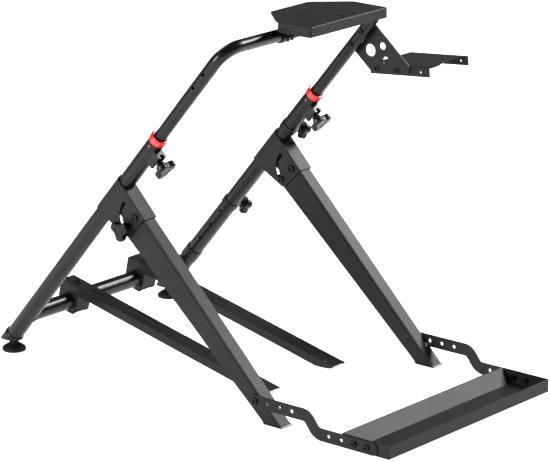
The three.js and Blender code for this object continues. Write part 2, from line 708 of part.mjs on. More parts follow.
// ---------------------------------------------------------------- pedal rails
// Height of the floor in the rail's frame, as the z of a given y.
function railFloor(y) {
  return (-CROSS[1] - y * Math.sin(RAIL_TURN)) / Math.cos(RAIL_TURN);
}

function railSide() {
  const tip = RAIL_FRONT - RAIL_LENGTH;
  const skirt = RAIL_TOP - RAIL_SKIRT;
  const meetsFloor = (-CROSS[1] - skirt * Math.cos(RAIL_TURN)) / Math.sin(RAIL_TURN);
  const heel = tip + 30;
  const shape = new THREE.Shape();
  shape.moveTo(RAIL_FRONT, RAIL_TOP);
  shape.lineTo(tip, RAIL_TOP);
  shape.lineTo(tip, RAIL_TOP - 2 * RAIL_SHEET);
  shape.quadraticCurveTo(tip + 8, railFloor(tip + 8), heel, railFloor(heel));
  shape.lineTo(meetsFloor, skirt);
  shape.lineTo(-RAIL_BOX_WALL, skirt);
  shape.lineTo(-RAIL_BOX_WALL, RAIL_BOX_CORNER - RAIL_BOX_DROP);
  shape.lineTo(RAIL_BOX_CORNER - RAIL_BOX_WALL, -RAIL_BOX_DROP);
  shape.lineTo(RAIL_FRONT - RAIL_BOX_CORNER, -RAIL_BOX_DROP);
  shape.lineTo(RAIL_FRONT, RAIL_BOX_CORNER * 2 - RAIL_BOX_DROP);
  shape.closePath();
  return shape;
}

function rail(side) {
  const x = side * RAIL_OFFSET;
  const half = RAIL_WIDTH / 2;
  const tip = RAIL_FRONT - RAIL_LENGTH;
  const body = slabX(railSide(), x - half, x + half);
  const inside = half - RAIL_SHEET;
  const hollow = box(x - inside, x + inside, tip - 10, RAIL_FRONT + 10, -80, RAIL_TOP - RAIL_SHEET);
  const wallBottom = RAIL_BOX_CORNER - RAIL_BOX_DROP;
  const wall = box(x - inside - 1, x + inside + 1, -RAIL_BOX_WALL, RAIL_SHEET - RAIL_BOX_WALL, wallBottom, RAIL_TOP - 1);
  const tube = rodX(CROSS_DIAMETER / 2 + LINER + 2 * CLEARANCE, x - 60, x + 60, 0, 0, TUBE_SIDES);
  const holeZ = (radius, dx, y) => rodZ(radius, RAIL_TOP - 10, RAIL_TOP + 10, x + dx, y);
  const slots = [-42, -294].map((y) => {
    const shape = slotShape(x, y - RAIL_SLOT_LENGTH + 3, x, y - 3, RAIL_SLOT_WIDTH);
    return slabZ(shape, RAIL_TOP - 10, RAIL_TOP + 10);
  });
  const tipHoles = [-1, 1].map((way) => holeZ(2.6, way * 15.5, tip + 27));
  return cut(join(cut(body, hollow), wall), tube, holeZ(4.3, 0, 0), ...tipHoles, ...slots);
}

// Plastic liner sleeve that slides along the cross tube inside each rail.
function railLiner(side) {
  const x = side * RAIL_OFFSET;
  const half = RAIL_WIDTH / 2 + 3;
  const inner = CROSS_DIAMETER / 2 + CLEARANCE;
  const sleeve = rodX(inner + LINER, x - half, x + half, 0, 0, TUBE_SIDES);
  return cut(sleeve, rodX(inner, x - half - 1, x + half + 1, 0, 0, TUBE_SIDES));
}

// Clamp block between the rail's top and the liner, with the clamp bolt in it.
function railClamp(side) {
  const x = side * RAIL_OFFSET;
  const half = RAIL_WIDTH / 2 - RAIL_SHEET - CLEARANCE;
  const block = box(x - half, x + half, -22, 22, 4, RAIL_TOP - RAIL_SHEET - CLEARANCE);
  const liner = rodX(CROSS_DIAMETER / 2 + LINER + 2 * CLEARANCE, x - 60, x + 60, 0, 0, TUBE_SIDES);
  const shank = rodZ(4, RAIL_TOP - 8, RAIL_TOP + 2, x, 0);
  const head = rodZ(7.5, RAIL_TOP + CLEARANCE, RAIL_TOP + 4.5, x, 0);
  return join(cut(block, liner), shank, head);
}

// ---------------------------------------------------------------- hoop
// The hoop's axis as a curve whose steps fall on the ends of its straight runs.
class HoopPath extends THREE.Curve {
  static bendSteps = 5;

  static get steps() {
    return 3 + 2 * HoopPath.bendSteps;
  }

  getPoint(share) {
    const step = share * HoopPath.steps;
    const bend = HoopPath.bendSteps;
    if (step > HoopPath.steps / 2) {
      const mirror = this.getPoint(1 - share);
      return mirror.setX(-mirror.x);
    }
    const bendStart = HOOP_HEIGHT - HOOP_BEND;
    if (step <= 1) return new THREE.Vector3(-legX, 0, HOOP_START + step * (bendStart - HOOP_START));
    if (step <= 1 + bend) {
      const angle = ((step - 1) / bend) * (Math.PI / 2);
      const x = -legX + HOOP_BEND * (1 - Math.cos(angle));
      return new THREE.Vector3(x, 0, bendStart + HOOP_BEND * Math.sin(angle));
    }
    const bar = 2 * (legX - HOOP_BEND);
    return new THREE.Vector3(-legX + HOOP_BEND + (step - 1 - bend) * bar, 0, HOOP_HEIGHT);
  }

  getPointAt(share) {
    return this.getPoint(share);
  }

  getTangentAt(share) {
    const bend = HoopPath.bendSteps;
    const step = share * HoopPath.steps;
    const turn = (from) => Math.min(Math.max((step - from) / bend, 0), 1) * (Math.PI / 2);
    const angle = turn(1) + turn(2 + bend);
    return new THREE.Vector3(Math.sin(angle), 0, Math.cos(angle));
  }
}

function hoopTube() {
  const ring = new THREE.Shape().absarc(0, 0, hoopR, 0, 2 * Math.PI, false);
  ring.holes.push(new THREE.Path().absarc(0, 0, hoopR - HOOP_WALL, 0, 2 * Math.PI, true));
  const settings = { steps: HoopPath.steps, extrudePath: new HoopPath(), curveSegments: HOOP_SIDES / 2 };
  const tube = toSolid(new THREE.ExtrudeGeometry(ring, settings));
  const holes = GUSSET_BOLTS.flatMap((station) => [-1, 1].map((side) =>
    rodX(4 + CLEARANCE, side * legX - 30, side * legX + 30, 0, station, HOLE_SIDES)));
  return cut(tube, ...holes);
}

// ---------------------------------------------------------------- wheel plate
function plateOutline() {
  const half = PLATE_WIDTH / 2;
  const rearHalf = PLATE_REAR_WIDTH / 2;
  return outline([
    [-half, -PLATE_FRONT, 5],
    [half, -PLATE_FRONT, 5],
    [half, -PLATE_FRONT + PLATE_SIDE, 8],
    [rearHalf, PLATE_REAR, 8],
    [-rearHalf, PLATE_REAR, 8],
    [-half, -PLATE_FRONT + PLATE_SIDE, 8],
  ]);
}

// Bolt pattern of the wheel plate: [x, y] from the hoop's bar.
const PLATE_COLUMN = 44.5;
const PLATE_ROWS = [-25, -38, -70, -99];
const PLATE_OUTER = [76, -46];
const PLATE_REAR_PAIR = [38, 28];
const PLATE_HOLE = 3.2;

function wheelPlate() {
  const half = PLATE_WIDTH / 2;
  const under = PLATE_TOP - PLATE_SKIRT;
  const sideEnd = -PLATE_FRONT + PLATE_SIDE - 4;
  const top = slabZ(plateOutline(), PLATE_TOP - PLATE_SHEET, PLATE_TOP);
  const block = box(-half, half, -PLATE_FRONT, sideEnd, under, PLATE_TOP - 1);
  const room = box(-half + PLATE_SHEET, half - PLATE_SHEET, -PLATE_FRONT + PLATE_SHEET, 80, under - 5, PLATE_TOP - 0.5);
  const rounded = slabZ(plateOutline(), under - 1, PLATE_TOP);
  const skirts = cut(block, room).intersect(rounded);
  const holeAt = (x, y) => rodZ(PLATE_HOLE, PLATE_TOP - 8, PLATE_TOP + 5, x, y, HOLE_SIDES);
  const pairs = [...PLATE_ROWS.map((y) => [PLATE_COLUMN, y]), PLATE_OUTER, PLATE_REAR_PAIR];
  const holes = pairs.flatMap(([x, y]) => [holeAt(-x, y), holeAt(x, y)]);
  const slot = slabZ(slotShape(0, -106, 0, -91, 8), PLATE_TOP - 8, PLATE_TOP + 5);
  const skirtHoles = [-43, -68, -94].map((y) => rodX(2.8, -half - 5, half + 5, y, PLATE_TOP - 15, HOLE_SIDES));
  return cut(join(top, skirts), ...holes, slot, ...skirtHoles);
}

// Saddle under the wheel plate: a deck, two cheeks that the bar passes through, and the upper
// halves of two clamps beside them.
const strapIn = SADDLE_OFFSET + SADDLE_SHEET / 2 + CLEARANCE;

function plateSaddle() {
  const deckTop = PLATE_TOP - PLATE_SHEET - CLEARANCE;
  const deckUnder = deckTop - SADDLE_SHEET;
  const front = -PLATE_FRONT + 26;
  const reach = SADDLE_OFFSET + SADDLE_SHEET / 2;
  const deck = box(-reach, reach, front, SADDLE_REAR, deckUnder, deckTop);
  const cheek = outline([
    [SADDLE_REAR, deckTop],
    [SADDLE_REAR, -14],
    [4, -SADDLE_DROP, 3],
    [-35, -5, 6],
    [front, deckUnder - 6],
    [front, deckTop],
  ]);
  const bar = rodX(hoopR + CLEARANCE, -200, 200, 0, 0, TUBE_SIDES);
  const pieces = [-1, 1].flatMap((side) => {
    const x = side * SADDLE_OFFSET;
    const [x0, x1] = [side * (strapIn + STRAP_WIDTH), x].sort((a, b) => a - b);
    const plate = slabX(cheek, x - SADDLE_SHEET / 2, x + SADDLE_SHEET / 2);
    const seat = box(x0, x1, -STRAP_EAR, SADDLE_REAR, CLEARANCE / 2, SADDLE_SHEET);
    const web = box(x0, x1, -SADDLE_REAR, SADDLE_SHEET - SADDLE_REAR, CLEARANCE / 2, deckTop);
    return [plate, seat, web];
  });
  const sideHole = rodX(2.5, -200, 200, -21, -4, HOLE_SIDES);
  return cut(join(deck, ...pieces), bar, sideHole);
}

// Lower half of a bar clamp: a half ring with one flat ear towards the driver.
function saddleStrap(side) {
  const half = STRAP_WIDTH / 2;
  const x = side * (strapIn + half);
  const inner = hoopR + CLEARANCE;
  const shell = rodX(inner + SADDLE_SHEET, x - half, x + half, 0, 0, TUBE_SIDES);
  const ear = box(x - half, x + half, -STRAP_EAR, 0, -SADDLE_SHEET, -CLEARANCE / 2);
  const above = box(x - 40, x + 40, -60, 60, -CLEARANCE / 2, 60);
  return cut(join(shell, ear), above, rodX(inner, x - 40, x + 40, 0, 0, TUBE_SIDES));
}

// ---------------------------------------------------------------- gear shifter bracket
const gussetIn = legX + hoopR + CLEARANCE;
const gussetOut = gussetIn + GUSSET_SHEET;

// A place in the shifter plate's frame, seen from the leg's frame.
function shifterToLeg(y, z) {
  const [dy, dz] = turned(y, z, SHIFTER_TURN);
  return turned(SHIFTER_ORIGIN[0] + dy, SHIFTER_ORIGIN[1] + dz, -LEG_TURN);
}

// The point on the gusset's lower edge at a given distance along the leg.
function lowerEdgeAt(station) {
  const [y0, z0] = shifterToLeg(0, 2 - SHIFTER_SKIRT);
  const [y1, z1] = shifterToLeg(100, 2 - SHIFTER_SKIRT);
  return [y0 + ((station - z0) / (z1 - z0)) * (y1 - y0), station];
}

function gusset() {
  const tubeSide = hoopR + 2;
  const corner = lowerEdgeAt(GUSSET_TOP - 18);
  const profile = outline([
    [tubeSide, GUSSET_TOP, 4],
    [tubeSide, GUSSET_BOTTOM, 4],
    [...lowerEdgeAt(GUSSET_BOTTOM), 8],
    [...corner, 8],
    [-GUSSET_REACH + 6, GUSSET_TOP, 9],
  ]);
  const plate = slabX(profile, gussetIn, gussetOut);
  const holeAt = (radius, y, z, sides = TUBE_SIDES) => rodX(radius, gussetIn - 5, gussetOut + 5, y, z, sides);
  const windows = [holeAt(14, -35.5, 935), holeAt(8.5, -52.7, 968), holeAt(8.7, -80, 950)];
  const tubeHoles = GUSSET_BOLTS.map((station) => holeAt(4 + CLEARANCE, 0, station));
  const shifterHoles = SHIFTER_BOLTS.map((y) => holeAt(3 + CLEARANCE, ...shifterToLeg(y, -11), HOLE_SIDES));
  return cut(plate, ...windows, ...tubeHoles, ...shifterHoles);
}

function gussetBolt(station) {
  const head = rodX(6.5, legX - hoopR - CLEARANCE - 4, legX - hoopR - CLEARANCE, 0, station);
  const shank = rodX(4, legX - hoopR - 2, gussetOut + 7, 0, station);
  return join(head, shank);
}

function shifterPlate() {
  const x0 = gussetOut + CLEARANCE;
  const x1 = x0 + SHIFTER_WIDTH;
  const notch = 20;
  const shape = new THREE.Shape();
  shape.moveTo(x0, 0);
  shape.lineTo(x0 + 24, 0);
  shape.bezierCurveTo(x0 + 55, 0, x0 + 60, notch, x0 + 100, notch);
  shape.bezierCurveTo(x0 + 130, notch, x1 - 10, notch / 2, x1, 2);
  shape.lineTo(x1, SHIFTER_LENGTH);
  shape.lineTo(x0, SHIFTER_LENGTH);
  shape.closePath();
  const top = slabZ(shape, -SHIFTER_SHEET, 0, 6);
  const nearFlange = box(x0, x0 + SHIFTER_SHEET, 0, SHIFTER_LENGTH, -SHIFTER_SKIRT, -1);
  const farFlange = box(x1 - SHIFTER_SHEET, x1, 3, SHIFTER_LENGTH, -SHIFTER_SKIRT, -1);
  const mid = x0 + SHIFTER_WIDTH / 2;
  const holeAt = (x, y) => rodZ(2.9, -8, 5, x, y, 8);
  const rows = [34, 54, 74, 94].flatMap((y) => [holeAt(mid - 22, y), holeAt(mid + 22, y)]);
  const middle = [44, 64, 84].map((y) => holeAt(mid, y));
  const spread = [holeAt(mid + 62, 100), holeAt(mid + 55, 28)];
  const bolts = SHIFTER_BOLTS.map((y) => rodX(3 + CLEARANCE, x0 - 5, x0 + 10, y, -11, HOLE_SIDES));
  const flangeHoles = rodX(2.6, x0 - 5, x1 + 5, 24, -12, HOLE_SIDES);
  return cut(join(top, nearFlange, farFlange), ...rows, ...middle, ...spread, ...bolts, flangeHoles);
}

function shifterBolt(y) {
  const head = rodX(6, gussetIn - CLEARANCE - 4, gussetIn - CLEARANCE, y, -11);
  const shank = rodX(3, gussetIn - 2, gussetOut + SHIFTER_SHEET + 7, y, -11, HOLE_SIDES);
  return join(head, shank);
}

// ---------------------------------------------------------------- assembly
for (const [name, side] of Object.entries(SIDES)) {
  addPiece(legFrame, `leg_tube_${name}`, 'tube', legTube(side));
  addPiece(stand, `leg_end_cap_${name}`, 'plastic', legEndCap(side));
  addPiece(stand, `levelling_foot_${name}`, 'rubber', levellingFoot(side));
  addPiece(legFrame, `collar_${name}`, 'red', collar(side));
  addPiece(legFrame, `clamp_boss_${name}`, 'tube', clampBoss(side));
  addPiece(legFrame, `height_knob_${name}`, 'plastic', heightKnob(side));
  addPiece(legFrame, `hinge_bracket_${name}`, 'powder', hingeBracket(side));
  addPiece(beamFrame, `pivot_bolt_${name}`, 'bolt', pivotBolt(side));
  addPiece(beamFrame, `pivot_nut_${name}`, 'bolt', pivotNut(side));
  addPiece(beamFrame, `pivot_bush_${name}`, 'plastic', pivotBush(side));
  addPiece(beamFrame, `beam_${name}`, 'powder', beam(side));
  addPiece(beamFrame, `beam_foot_${name}`, 'plastic', beamFoot(side));
  addPiece(beamFrame, `lock_bolt_${name}`, 'bolt', lockBolt(side));
  addPiece(beamFrame, `lock_knob_${name}`, 'plastic', lockKnob(side));
  addPiece(trayFrame, `side_bar_${name}`, 'powder', sideBar(side));
  addPiece(trayFrame, `tray_hinge_bolt_${name}`, 'bolt', trayHingeBolt(side));
  addPiece(trayFrame, `tray_bolt_front_${name}`, 'bolt', trayBolt(side, trayBoltRuns[0]));
  addPiece(trayFrame, `tray_bolt_rear_${name}`, 'bolt', trayBolt(side, trayBoltRuns[1]));
  addPiece(railFrame, `pedal_rail_${name}`, 'powder', rail(side));
  addPiece(railFrame, `rail_liner_${name}`, 'plastic', railLiner(side));
  addPiece(railFrame, `rail_clamp_${name}`, 'powder', railClamp(side));
  addPiece(plateFrame, `saddle_strap_${name}`, 'powder', saddleStrap(side));
}
for (const [name, station] of Object.entries(RING_STATIONS)) {
  addPiece(legFrame, `clamp_ring_${name}`, 'plastic', clampRing(station));
  addPiece(legFrame, `ring_knob_${name}`, 'plastic', ringKnob(station));
}
const sleeve = ringZ(cheekIn + RING_WALL, cheekIn, ...SLEEVE_RUN, legX, 0);
addPiece(legFrame, 'leg_sleeve', 'plastic', sleeve);
addPiece(legFrame, 'cross_tube', 'tube', crossTube());
addPiece(trayFrame, 'tray', 'powder', tray());
addPiece(legFrame, 'hoop_tube', 'tube', hoopTube());
addPiece(plateFrame, 'wheel_plate', 'powder', wheelPlate());
addPiece(plateFrame, 'plate_saddle', 'powder', plateSaddle());
addPiece(legFrame, 'shifter_gusset', 'powder', gusset());
addPiece(legFrame, 'gusset_bolt_upper', 'bolt', gussetBolt(GUSSET_BOLTS[0]));
addPiece(legFrame, 'gusset_bolt_lower', 'bolt', gussetBolt(GUSSET_BOLTS[1]));
addPiece(shifterFrame, 'shifter_plate', 'powder', shifterPlate());
addPiece(shifterFrame, 'shifter_bolt_front', 'bolt', shifterBolt(SHIFTER_BOLTS[0]));
addPiece(shifterFrame, 'shifter_bolt_rear', 'bolt', shifterBolt(SHIFTER_BOLTS[1]));

// The origin goes to the centre of the bounding box, on the floor.
stand.updateMatrixWorld(true);
const bounds = new THREE.Box3().setFromObject(stand, true);
stand.position.set(-(bounds.min.x + bounds.max.x) / 2, -(bounds.min.y + bounds.max.y) / 2, -bounds.min.z);

export default stand;
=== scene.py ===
import math
import bmesh
import bpy
from mathutils import Matrix, Vector


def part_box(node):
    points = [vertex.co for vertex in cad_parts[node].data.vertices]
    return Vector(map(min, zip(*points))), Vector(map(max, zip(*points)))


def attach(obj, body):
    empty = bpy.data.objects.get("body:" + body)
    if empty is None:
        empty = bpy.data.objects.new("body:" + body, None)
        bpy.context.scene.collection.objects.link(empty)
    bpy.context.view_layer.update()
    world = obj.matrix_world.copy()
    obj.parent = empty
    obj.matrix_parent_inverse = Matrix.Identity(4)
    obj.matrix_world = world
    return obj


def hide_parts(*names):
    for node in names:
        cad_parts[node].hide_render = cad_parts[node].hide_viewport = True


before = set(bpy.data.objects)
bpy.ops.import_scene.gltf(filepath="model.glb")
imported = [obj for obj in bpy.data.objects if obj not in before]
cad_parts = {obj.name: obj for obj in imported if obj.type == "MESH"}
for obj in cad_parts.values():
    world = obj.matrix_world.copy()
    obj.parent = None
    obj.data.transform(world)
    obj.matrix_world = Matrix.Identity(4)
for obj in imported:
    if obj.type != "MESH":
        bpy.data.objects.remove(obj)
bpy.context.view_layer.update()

# ------------------------------------------------------------------ sizes, in millimetres
MM = 0.001
SIDES = {"left": -1, "right": 1}
LEG_TURN, BEAM_TURN, SHIFTER_TURN = 40, -45, -5.5  # degrees about X
LEG_X = 264.0
LEG_R = 19.0
LEG_START, LEG_END = 56.0, 741.0
LEG_WALL = 1.6
HOOP_R = 14.0
HOOP_TOP = 1042.0
HOOP_BEND = 45.0
CROSS_AT = 125.0
CROSS_HALF = 256
LEG_BORES = (228, 278, 328)
FOOT_BACK = 30.0
PIVOT = (-77.0, 575.0)
LOCK_REACH = 42.0
BRACKET_TOP, BRACKET_BOTTOM = 602.0, 504.5
HEIGHT_KNOB_R, RING_KNOB_R, LOCK_KNOB_R = 27, 22, 25
RING_STATIONS = (631, 355)
SLEEVE_IN, SLEEVE_OUT, SLEEVE_RUN = 19.3, 20.9, (148, 183)
CHEEK_IN, CHEEK_OUT = 19.3, 21.8
WEB_OUT = 18.5
BEAM_HALF = 17.5
BEAM_BACK = 15.0
BAR_IN, BAR_OUT = 281.8, 284.8
BAR_END, BAR_DROP = 319.0, 33.7
TRAY_BOLTS = (305.0, 271.0)
TRAY_FRONT, TRAY_FLOOR, TRAY_TOP = -364.0, -48.0, -18.0
TRAY_FLAT, TRAY_RUN = 97, 128
TRAY_SHEET = 2.0
RAIL_X = 113.0
RAIL_TURN = 12.34
RAIL_TOP = 42.5
RAIL_HALF, RAIL_SHEET = 22.0, 2.0
RAIL_TUNNEL = 21.8
PLATE_TOP = 42.5
GUSSET_IN, GUSSET_OUT = 278.3, 281.3
GUSSET_BOLTS = (966, 922)
SHIFT_X0, SHIFT_W, SHIFT_L = 281.6, 150.0, 166.0
SHIFT_Y, SHIFT_Z = -790, 677.5


def turn_x(degrees):
    return Matrix.Rotation(math.radians(degrees), 4, "X")


def move(x, y, z):
    return Matrix.Translation((x, y, z))


def turned(y, z, degrees):
    c, s = math.cos(math.radians(degrees)), math.sin(math.radians(degrees))
    return y * c - z * s, y * s + z * c


left_leg, right_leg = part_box("leg_tube_left"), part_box("leg_tube_right")
foot_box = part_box("levelling_foot_left")
MID_X = (left_leg[0][0] + right_leg[1][0]) / 2 / MM
FLOOR_Y = (foot_box[0][1] + foot_box[1][1]) / 2 / MM + FOOT_BACK

STAND = move(MID_X, FLOOR_Y, 0)
LEG = STAND @ turn_x(LEG_TURN)
PIVOT_AT = turned(*PIVOT, LEG_TURN)
BEAM = STAND @ move(0, *PIVOT_AT) @ turn_x(BEAM_TURN)
CROSS = turned(0, CROSS_AT, LEG_TURN)
RAIL = STAND @ move(0, *CROSS) @ turn_x(RAIL_TURN)
BAR_AXIS = turned(0, HOOP_TOP, LEG_TURN)
PLATE = STAND @ move(0, *BAR_AXIS)
SHIFTER = STAND @ move(0, SHIFT_Y, SHIFT_Z) @ turn_x(SHIFTER_TURN)


def beam_station(depth, height):
    """Where along a beam a point at a depth stands at a height above the floor."""
    lean = math.radians(-BEAM_TURN)
    return (height - PIVOT_AT[1] + depth * math.sin(lean)) / math.cos(lean)


HINGE_AT = turned(2, beam_station(2, 48), BEAM_TURN)
TRAY = STAND @ move(0, PIVOT_AT[0] + HINGE_AT[0], PIVOT_AT[1] + HINGE_AT[1])


# ------------------------------------------------------------------ materials
def material(name, base, rough, metal=0.0, grain=1400.0, bump=0.25, depth=0.0003, spread=0.25,
             coat=0.0, streak=None, specular=0.5):
    """A surface with fine grain in its relief, and drift in its colour and roughness."""
    mat = bpy.data.materials.new(name)
    mat.use_nodes = True
    nodes, links = mat.node_tree.nodes, mat.node_tree.links
    shader = nodes["Principled BSDF"]
    shader.inputs["Metallic"].default_value = metal
    shader.inputs["Coat Weight"].default_value = coat
    shader.inputs["Coat Roughness"].default_value = 0.12
    shader.inputs["Specular IOR Level"].default_value = specular
    place = nodes.new("ShaderNodeTexCoord")
    stretch = nodes.new("ShaderNodeMapping")
    stretch.inputs["Scale"].default_value = streak or (1, 1, 1)
    links.new(place.outputs["Object"], stretch.inputs["Vector"])

    def noise(scale, detail, source):
        tex = nodes.new("ShaderNodeTexNoise")
        tex.inputs["Scale"].default_value = scale
        tex.inputs["Detail"].default_value = detail
        links.new(source.outputs[0 if source is stretch else "Object"], tex.inputs["Vector"])
        return tex

    fine, mid, broad = noise(grain, 3, place), noise(grain / 9, 3, stretch), noise(7, 4, place)
    mix = nodes.new("ShaderNodeMath")
    mix.operation = "MULTIPLY_ADD"
    links.new(fine.outputs["Fac"], mix.inputs[0])
    mix.inputs[1].default_value = 0.6
    weigh = nodes.new("ShaderNodeMath")
    weigh.operation = "MULTIPLY_ADD"
    links.new(broad.outputs["Fac"], weigh.inputs[0])
    weigh.inputs[1].default_value = 0.25
    half = nodes.new("ShaderNodeMath")
    half.operation = "MULTIPLY"
    links.new(mid.outputs["Fac"], half.inputs[0])
    half.inputs[1].default_value = 0.15
    links.new(half.outputs[0], weigh.inputs[2])
    links.new(weigh.outputs[0], mix.inputs[2])
    ramp = nodes.new("ShaderNodeValToRGB")
    ramp.color_ramp.elements[0].position = 0.34
    ramp.color_ramp.elements[1].position = 0.66
    ramp.color_ramp.elements[0].color = [*(c * (1 - spread) for c in base), 1]
    ramp.color_ramp.elements[1].color = [*(c * (1 + spread) for c in base), 1]
    links.new(mix.outputs[0], ramp.inputs["Fac"])
    links.new(ramp.outputs["Color"], shader.inputs["Base Color"])
    gloss = nodes.new("ShaderNodeMapRange")
    gloss.inputs["From Min"].default_value = 0.3
    gloss.inputs["From Max"].default_value = 0.7
    gloss.inputs["To Min"].default_value = rough * 0.85
    gloss.inputs["To Max"].default_value = min(1, rough * 1.15)
    links.new(mix.outputs[0], gloss.inputs["Value"])
    links.new(gloss.outputs["Result"], shader.inputs["Roughness"])
    relief = nodes.new("ShaderNodeBump")
    relief.inputs["Strength"].default_value = bump
    relief.inputs["Distance"].default_value = depth
    links.new(mix.outputs[0], relief.inputs["Height"])
    links.new(relief.outputs["Normal"], shader.inputs["Normal"])
    return mat


MATS = {
    "powder": material("powder_coat", (0.0105, 0.0105, 0.0107), 0.48, grain=800, bump=0.6, depth=0.0007,
                       spread=0.5, specular=0.15),
    "tube": material("gloss_tube", (0.002, 0.002, 0.0022), 0.28, grain=260, bump=0.08, depth=0.0002,
                     spread=0.2, coat=0.05, streak=(1, 0.2, 0.2), specular=0.24),
    "plastic": material("moulded_plastic", (0.003, 0.003, 0.0031), 0.32, grain=1600, bump=0.3, depth=0.0002,
                        specular=0.22),
    "rubber": material("rubber", (0.003, 0.003, 0.003), 0.6, grain=1100, bump=0.4, depth=0.0003,
                       specular=0.2),
    "red": material("red_plastic", (0.5, 0.006, 0.014), 0.26, grain=500, bump=0.06, depth=0.0001,
                    spread=0.12, coat=0.5),
    "bolt": material("black_oxide", (0.004, 0.004, 0.0043), 0.34, metal=0.4, specular=0.3, grain=1800,
                     bump=0.2, depth=0.0001),
    "weld": material("weld_bead", (0.003, 0.003, 0.0032), 0.36, specular=0.25, grain=420, bump=0.5,
                     depth=0.0006),
}


# ------------------------------------------------------------------ shapes
def circle(radius, sides, x=0.0, y=0.0):
    step = 2 * math.pi / sides
    return [(x + radius * math.cos(i * step), y + radius * math.sin(i * step)) for i in range(sides)]


def rounded(corners, steps=5):
    """Points round a closed outline of (u, v, radius) corners."""
    points = []
    count = len(corners)
    for i, corner in enumerate(corners):
        here = Vector(corner[:2])
        radius = corner[2] if len(corner) > 2 else 0
        if not radius:
            points.append(tuple(here))
            continue
        before = Vector(corners[i - 1][:2]) - here
        after = Vector(corners[(i + 1) % count][:2]) - here
        a, b = here + before.normalized() * radius, here + after.normalized() * radius
        for k in range(steps + 1):
            t = k / steps
            points.append(tuple(a * (1 - t) ** 2 + here * 2 * t * (1 - t) + b * t * t))
    return points


def slot_loop(u0, v0, u1, v1, width, steps=10):
    heading = math.atan2(v1 - v0, u1 - u0)
    ends = [(u1, v1, heading - math.pi / 2), (u0, v0, heading + math.pi / 2)]
    half = width / 2
    return [(u + half * math.cos(a + math.pi * k / steps), v + half * math.sin(a + math.pi * k / steps))
            for u, v, a in ends for k in range(steps + 1)]


def evaluated_mesh(obj):
    """A new mesh of an object as its modifiers or its fill leave it."""
    bpy.context.view_layer.update()
    return bpy.data.meshes.new_from_object(obj.evaluated_get(bpy.context.evaluated_depsgraph_get()))


class Form:
    """Vertices and faces of one or more closed bodies, in millimetres in a local frame."""

    def __init__(self):
        self.verts, self.faces = [], []

    def add(self, verts, faces, place=None):
        base = len(self.verts)
        place = place or Matrix.Identity(4)
        self.verts += [place @ Vector(v) for v in verts]
        self.faces += [[base + i for i in face] for face in faces]
        return self

    def loft(self, loops, place=None, closed=False):
        n, rows = len(loops[0]), len(loops)
        faces = []
        for r in range(rows if closed else rows - 1):
            a, b = r * n, (r + 1) % rows * n
            faces += [[a + i, a + (i + 1) % n, b + (i + 1) % n, b + i] for i in range(n)]
        if not closed:
            faces += [list(range(n)), [(rows - 1) * n + i for i in range(n)]]
        return self.add([p for loop in loops for p in loop], faces, place)

    def lathe(self, profile, place=None, sides=72, closed=False):
        loops = [[(x, y, z) for x, y in circle(max(r, 0.001), sides)] for r, z in profile]
        return self.loft(loops, place, closed)

    def prism(self, loop, z0, z1, place=None):
        return self.loft([[(u, v, z) for u, v in loop] for z in (z0, z1)], place)

    def box(self, x0, x1, y0, y1, z0, z1, place=None):
        return self.prism([(x0, y0), (x1, y0), (x1, y1), (x0, y1)], z0, z1, place)

    def sheet(self, loop, holes, z0, z1, place=None):
        """A flat sheet with holes, filled by a flat curve."""
        curve = bpy.data.curves.new("fill", "CURVE")
        curve.dimensions, curve.fill_mode = "2D", "BOTH"
        curve.extrude = (z1 - z0) / 2
        for ring in [loop, *holes]:
            spline = curve.splines.new("POLY")
            spline.points.add(len(ring) - 1)
            for point, (u, v) in zip(spline.points, ring):
                point.co = (u, v, 0, 1)
            spline.use_cyclic_u = True
        holder = bpy.data.objects.new("fill", curve)
        bpy.context.scene.collection.objects.link(holder)
        mesh = evaluated_mesh(holder)
        middle = (z0 + z1) / 2
        self.add([(v.co.x, v.co.y, v.co.z + middle) for v in mesh.vertices],
                 [list(p.vertices) for p in mesh.polygons], place)
        bpy.data.objects.remove(holder)
        bpy.data.meshes.remove(mesh)
        bpy.data.curves.remove(curve)
        return self

    def sweep(self, points, radii, sides):
        """A round bar along points, with one radius or one for each point."""
        points = [Vector(p) for p in points]
        loops, normal = [], None
        for i, p in enumerate(points):
            ahead = (points[min(i + 1, len(points) - 1)] - points[max(i - 1, 0)]).normalized()
            if normal is None:
                normal = ahead.orthogonal().normalized()
            normal = (normal - ahead * normal.dot(ahead)).normalized()
            side = ahead.cross(normal)
            radius = radii[i] if isinstance(radii, list) else radii
            loops.append([p + normal * u + side * v for u, v in circle(radius, sides)])
        return self.loft(loops)


def to_x(x, y, z, side=1):
    """A frame whose Z axis points along X."""
    return move(x, y, z) @ Matrix.Rotation(math.radians(90 * side), 4, "Y")


def yz_plane(x=0.0):
    """A frame whose (u, v) is (y, z), and whose third axis is X."""
    return move(x, 0, 0) @ Matrix(((0, 0, 1, 0), (1, 0, 0, 0), (0, 1, 0, 0), (0, 0, 0, 1)))


def aimed(origin, direction):
    turn = Vector((0, 0, 1)).rotation_difference(Vector(direction))
    return Matrix.Translation(origin) @ turn.to_matrix().to_4x4()


def mesh_of(name, form, space):
    mesh = bpy.data.meshes.new(name)
    world = Matrix.Scale(MM, 4) @ space
    mesh.from_pydata([tuple(world @ v) for v in form.verts], [], form.faces)
    work = bmesh.new()
    work.from_mesh(mesh)
    bmesh.ops.remove_doubles(work, verts=work.verts, dist=1e-6)
    bmesh.ops.dissolve_degenerate(work, edges=work.edges, dist=1e-7)
    bmesh.ops.recalc_face_normals(work, faces=work.faces)
    work.to_mesh(mesh)
    work.free()
    return mesh


def linked(name, mesh):
    obj = bpy.data.objects.new(name, mesh)
    bpy.context.scene.collection.objects.link(obj)
    return obj


